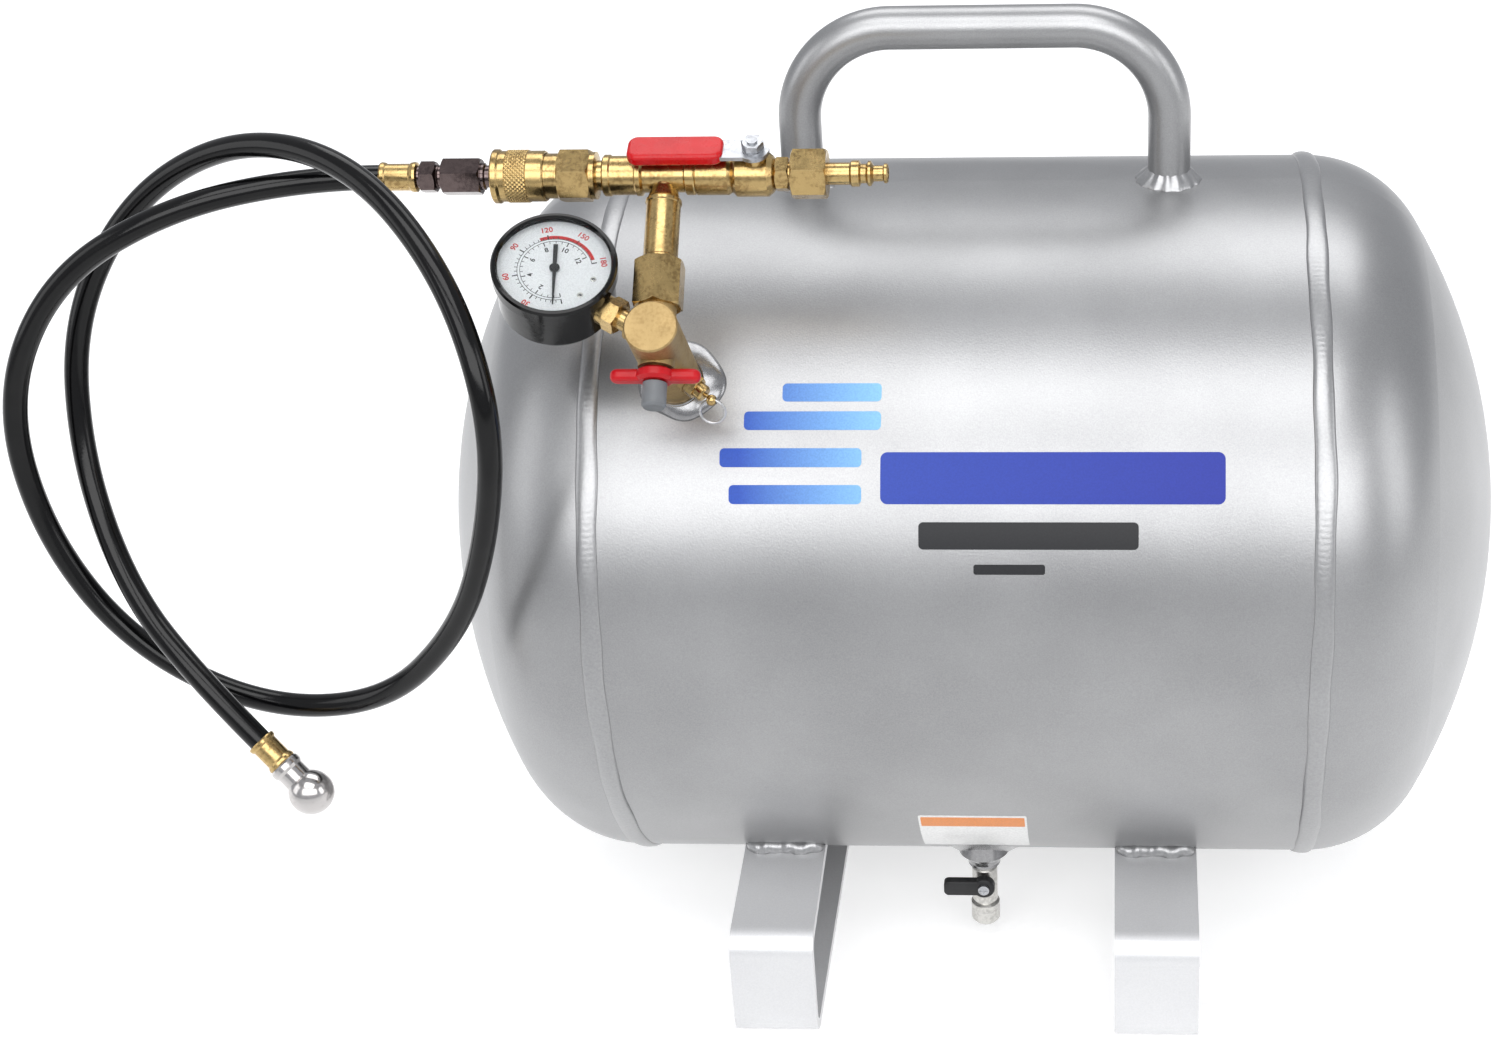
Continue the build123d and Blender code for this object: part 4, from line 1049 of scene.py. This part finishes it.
# %% Printed layer
def printed_layer(name, colour_left, colour_right, left, right, roughness, grain_scale, coat):
    material = fresh_material(name)
    nodes_ = material.node_tree.nodes
    links = material.node_tree.links

    fade_frame = nodes_.new("NodeFrame")
    fade_frame.label = "Fade along the tank: colour"
    grain_frame = nodes_.new("NodeFrame")
    grain_frame.label = "Grain: colour, gloss and relief"

    place = nodes_.new("ShaderNodeTexCoord")
    place.label = "Metres on the object"
    apart = nodes_.new("ShaderNodeSeparateXYZ")
    apart.label = "Distance along the tank"
    apart.parent = fade_frame
    reach = nodes_.new("ShaderNodeMapRange")
    reach.label = "Where the fade runs"
    reach.parent = fade_frame
    fade = nodes_.new("ShaderNodeMix")
    fade.label = "Pale end to deep end"
    fade.parent = fade_frame
    grain = nodes_.new("ShaderNodeTexNoise")
    grain.label = "Fibre or screen grain"
    grain.parent = grain_frame
    grain_tone = nodes_.new("ShaderNodeMapRange")
    grain_tone.label = "How far grain darkens"
    grain_tone.parent = grain_frame
    darken = nodes_.new("ShaderNodeMix")
    darken.label = "Colour with grain"
    darken.parent = grain_frame
    gloss = nodes_.new("ShaderNodeMapRange")
    gloss.label = "Gloss from grain"
    gloss.parent = grain_frame
    relief = nodes_.new("ShaderNodeBump")
    relief.label = "Depth of grain"
    relief.parent = grain_frame
    layer = nodes_.new("ShaderNodeBsdfPrincipled")
    layer.label = "Printed layer"
    output = nodes_.new("ShaderNodeOutputMaterial")
    output.label = "Surface"
    lay_out([apart, reach, fade], -900, 300)
    lay_out([grain, grain_tone, darken], -900, 0)
    lay_out([gloss], -710, -260)
    lay_out([relief], -710, -520)
    place.location = (-1120, 100)
    layer.location = (0, 100)
    output.location = (300, 100)

    reach.inputs["From Min"].default_value = left
    reach.inputs["From Max"].default_value = right
    fade.data_type = "RGBA"
    fade.inputs["A"].default_value = (*colour_left, 1.0)
    fade.inputs["B"].default_value = (*colour_right, 1.0)
    grain.inputs["Scale"].default_value = grain_scale
    grain.inputs["Detail"].default_value = 4.0
    grain_tone.inputs["From Min"].default_value = 0.35
    grain_tone.inputs["From Max"].default_value = 0.65
    grain_tone.inputs["To Min"].default_value = 0.86
    grain_tone.inputs["To Max"].default_value = 1.0
    darken.data_type = "RGBA"
    darken.blend_type = "MULTIPLY"
    darken.inputs["Factor"].default_value = 1.0
    gloss.inputs["To Min"].default_value = roughness - 0.06
    gloss.inputs["To Max"].default_value = roughness + 0.06
    relief.inputs["Strength"].default_value = 0.1
    relief.inputs["Distance"].default_value = 0.00005
    layer.inputs["Specular IOR Level"].default_value = 0.25
    layer.inputs["Coat Weight"].default_value = coat
    layer.inputs["Coat Roughness"].default_value = 0.15

    links.new(place.outputs["Object"], apart.inputs["Vector"])
    links.new(place.outputs["Object"], grain.inputs["Vector"])
    links.new(apart.outputs["X"], reach.inputs["Value"])
    links.new(reach.outputs["Result"], fade.inputs["Factor"])
    links.new(grain.outputs["Fac"], grain_tone.inputs["Value"])
    links.new(fade.outputs["Result"], darken.inputs["A"])
    links.new(grain_tone.outputs["Result"], darken.inputs["B"])
    links.new(darken.outputs["Result"], layer.inputs["Base Color"])
    links.new(grain.outputs["Fac"], gloss.inputs["Value"])
    links.new(gloss.outputs["Result"], layer.inputs["Roughness"])
    links.new(grain.outputs["Fac"], relief.inputs["Height"])
    links.new(relief.outputs["Normal"], layer.inputs["Normal"])
    links.new(layer.outputs["BSDF"], output.inputs["Surface"])
    print("printed:", name)
    return material


card_white = printed_layer("card_white", (0.94, 0.95, 0.97), (0.93, 0.94, 0.96), -0.2, 0.2,
                           0.45, 1600, 0.1)
ink_black = printed_layer("ink_black", (0.02, 0.02, 0.02), (0.03, 0.03, 0.03), -0.2, 0.2,
                          0.40, 2600, 0.1)
ink_red = printed_layer("ink_red", (0.70, 0.03, 0.03), (0.66, 0.03, 0.03), -0.2, 0.2,
                        0.40, 2600, 0.1)
film_blue = printed_layer("film_blue", (0.022, 0.055, 0.36), (0.016, 0.030, 0.30), -0.03, 0.114,
                          0.42, 1300, 0.05)
film_fade = printed_layer("film_fade", (0.020, 0.075, 0.42), (0.22, 0.48, 0.80), -0.09, -0.03,
                          0.42, 1300, 0.05)
film_black = printed_layer("film_black", (0.018, 0.019, 0.022), (0.022, 0.022, 0.024), -0.1, 0.1,
                           0.42, 1300, 0.05)
paper_white = printed_layer("paper_white", (0.80, 0.80, 0.79), (0.78, 0.78, 0.77), -0.02, 0.03,
                            0.42, 900, 0.3)
paper_orange = printed_layer("paper_orange", (0.74, 0.24, 0.04), (0.72, 0.23, 0.04), -0.02, 0.03,
                             0.42, 1100, 0.3)

# %% [markdown]
# ### Gauge window
#
# The window is a clear disc. Real glass is never perfectly clean, so slow noise dulls its
# gloss in faint smudges; the glass itself stays fully clear, or the dial would look foggy.

# %% Window glass
window_glass = fresh_material("window_glass")
glass_nodes = window_glass.node_tree.nodes
glass_links = window_glass.node_tree.links

smudge_frame = glass_nodes.new("NodeFrame")
smudge_frame.label = "Smudges: gloss"
glass_place = glass_nodes.new("ShaderNodeTexCoord")
glass_place.label = "Metres on the object"
smudge_noise = glass_nodes.new("ShaderNodeTexNoise")
smudge_noise.label = "Finger smudges"
smudge_noise.parent = smudge_frame
smudge_gloss = glass_nodes.new("ShaderNodeMapRange")
smudge_gloss.label = "Gloss under smudges"
smudge_gloss.parent = smudge_frame
glass_shader = glass_nodes.new("ShaderNodeBsdfPrincipled")
glass_shader.label = "Clear window"
glass_output = glass_nodes.new("ShaderNodeOutputMaterial")
glass_output.label = "Surface"
lay_out([glass_place, smudge_noise, smudge_gloss, glass_shader], -700, 0, 230)
glass_output.location = (300, 0)

smudge_noise.inputs["Scale"].default_value = 90.0
smudge_noise.inputs["Detail"].default_value = 5.0
smudge_gloss.inputs["From Min"].default_value = 0.4
smudge_gloss.inputs["From Max"].default_value = 0.8
smudge_gloss.inputs["To Min"].default_value = 0.0
smudge_gloss.inputs["To Max"].default_value = 0.02
glass_shader.inputs["Base Color"].default_value = (0.97, 0.985, 0.98, 1.0)
glass_shader.inputs["Transmission Weight"].default_value = 1.0
glass_shader.inputs["IOR"].default_value = 1.45
glass_links.new(glass_place.outputs["Object"], smudge_noise.inputs["Vector"])
glass_links.new(smudge_noise.outputs["Fac"], smudge_gloss.inputs["Value"])
glass_links.new(smudge_gloss.outputs["Result"], glass_shader.inputs["Roughness"])
glass_links.new(glass_shader.outputs["BSDF"], glass_output.inputs["Surface"])
print("glass:", window_glass.name)

# %% [markdown]
# ### Floor
#
# The floor is a pale sweep with a fine tooth, so that it stays even and matt. The floor itself
# glows, as a product table lit from below would: painted light from a part that is no lamp, which
# keeps the shadows thin and sends light up into the underside of the tank. The glow ends a little
# in front of the feet.

# %% Floor finish
floor_finish = printed_layer("sweep_pale", (0.70, 0.70, 0.70), (0.70, 0.70, 0.70), -3, 3,
                             0.85, 420, 0.0)
sweep_nodes = floor_finish.node_tree.nodes
sweep_links = floor_finish.node_tree.links
glow_frame = sweep_nodes.new("NodeFrame")
glow_frame.label = "Light under the table: glow"
sweep_place = sweep_nodes.new("ShaderNodeTexCoord")
sweep_place.label = "Metres on the floor"
sweep_depth = sweep_nodes.new("ShaderNodeSeparateXYZ")
sweep_depth.label = "Distance to the back"
sweep_depth.parent = glow_frame
glow = sweep_nodes.new("ShaderNodeMapRange")
glow.label = "Front edge of the glow"
glow.parent = glow_frame
lay_out([sweep_place, sweep_depth, glow], -900, -760)
# Painted light: the floor's own emission, full under and behind the tank, fading out towards the
# front.
glow.inputs["From Min"].default_value = -0.55
glow.inputs["From Max"].default_value = -0.10
glow.inputs["To Min"].default_value = 0.0
glow.inputs["To Max"].default_value = 0.55
sweep_shader = next(node for node in sweep_nodes if node.type == "BSDF_PRINCIPLED")
sweep_shader.inputs["Emission Color"].default_value = (1.0, 1.0, 1.0, 1.0)
sweep_links.new(sweep_place.outputs["Object"], sweep_depth.inputs["Vector"])
sweep_links.new(sweep_depth.outputs["Y"], glow.inputs["Value"])
sweep_links.new(glow.outputs["Result"], sweep_shader.inputs["Emission Strength"])
floor_mesh.materials.append(floor_finish)
print("glow reaches forward to", glow.inputs["From Min"].default_value)

# %% [markdown]
# ## Dressing the CAD pieces
#
# The record names a material slot for every CAD piece. One table gives each slot its finish,
# so a piece can't be missed. The feet get a paler copy of the shell paint: painted light for the
# light that falls on their upright fronts.
# The manifold body is milled, not turned, so its brass is duller; the lever's stud is plated.
# The new pieces are dressed one by one.

# %% Finish of every slot
SLOT_FINISH = {
    "satin_aluminium": shell_paint, "weld_bead": bead_paint, "weld_blob": pad_paint,
    "brass": brass, "chrome": chrome, "dark_chrome": dark_chrome, "nickel": nickel,
    "zinc_steel": zinc_steel, "spring_steel": spring_steel, "red_vinyl": red_vinyl,
    "red_plastic": red_plastic, "grey_plastic": grey_plastic, "black_enamel": black_enamel,
    "gauge_glass": window_glass, "dial_white": card_white, "needle_black": ink_black,
    "black_rubber": hose_rubber, "black_plastic": black_plastic,
}
for node_name, node in nodes.items():
    for material_slot in node.material_slots:
        material_slot.material = SLOT_FINISH[material_slot.material.name.split(".")[0]]
for foot_name in ("foot_left", "foot_right"):
    nodes[foot_name].material_slots[0].material = foot_paint_painted_light
nodes["manifold_body"].material_slots[0].material = satin_brass
nodes["valve_stem"].material_slots[0].material = zinc_steel
print("CAD pieces dressed:", len(nodes))

# %% Finish of every new piece
def dress(pieces, finish):
    """Gives one finish to several pieces."""
    for piece in pieces:
        piece.data.materials.append(finish)


dress([hose_tube], hose_rubber)
dress(girth_beads + foot_bead_pieces + [handle_beads], bead_paint)
dress([manifold_pad, drain_bead], pad_paint)
dress([knurled_sleeve], brass)
dress([dial_ticks, dial_fine, inner_numbers, eyelet_shade_rings], ink_black)
dress([eyelets], nickel)
dress([danger_arc, outer_numbers], ink_red)
dress([label_wide], film_blue)
dress(label_sky, film_fade)
dress(label_dark, film_black)
dress([sticker_paper], paper_white)
dress([sticker_band], paper_orange)
print("new pieces dressed")

# %% Bring the scene up to date
bpy.context.view_layer.update()
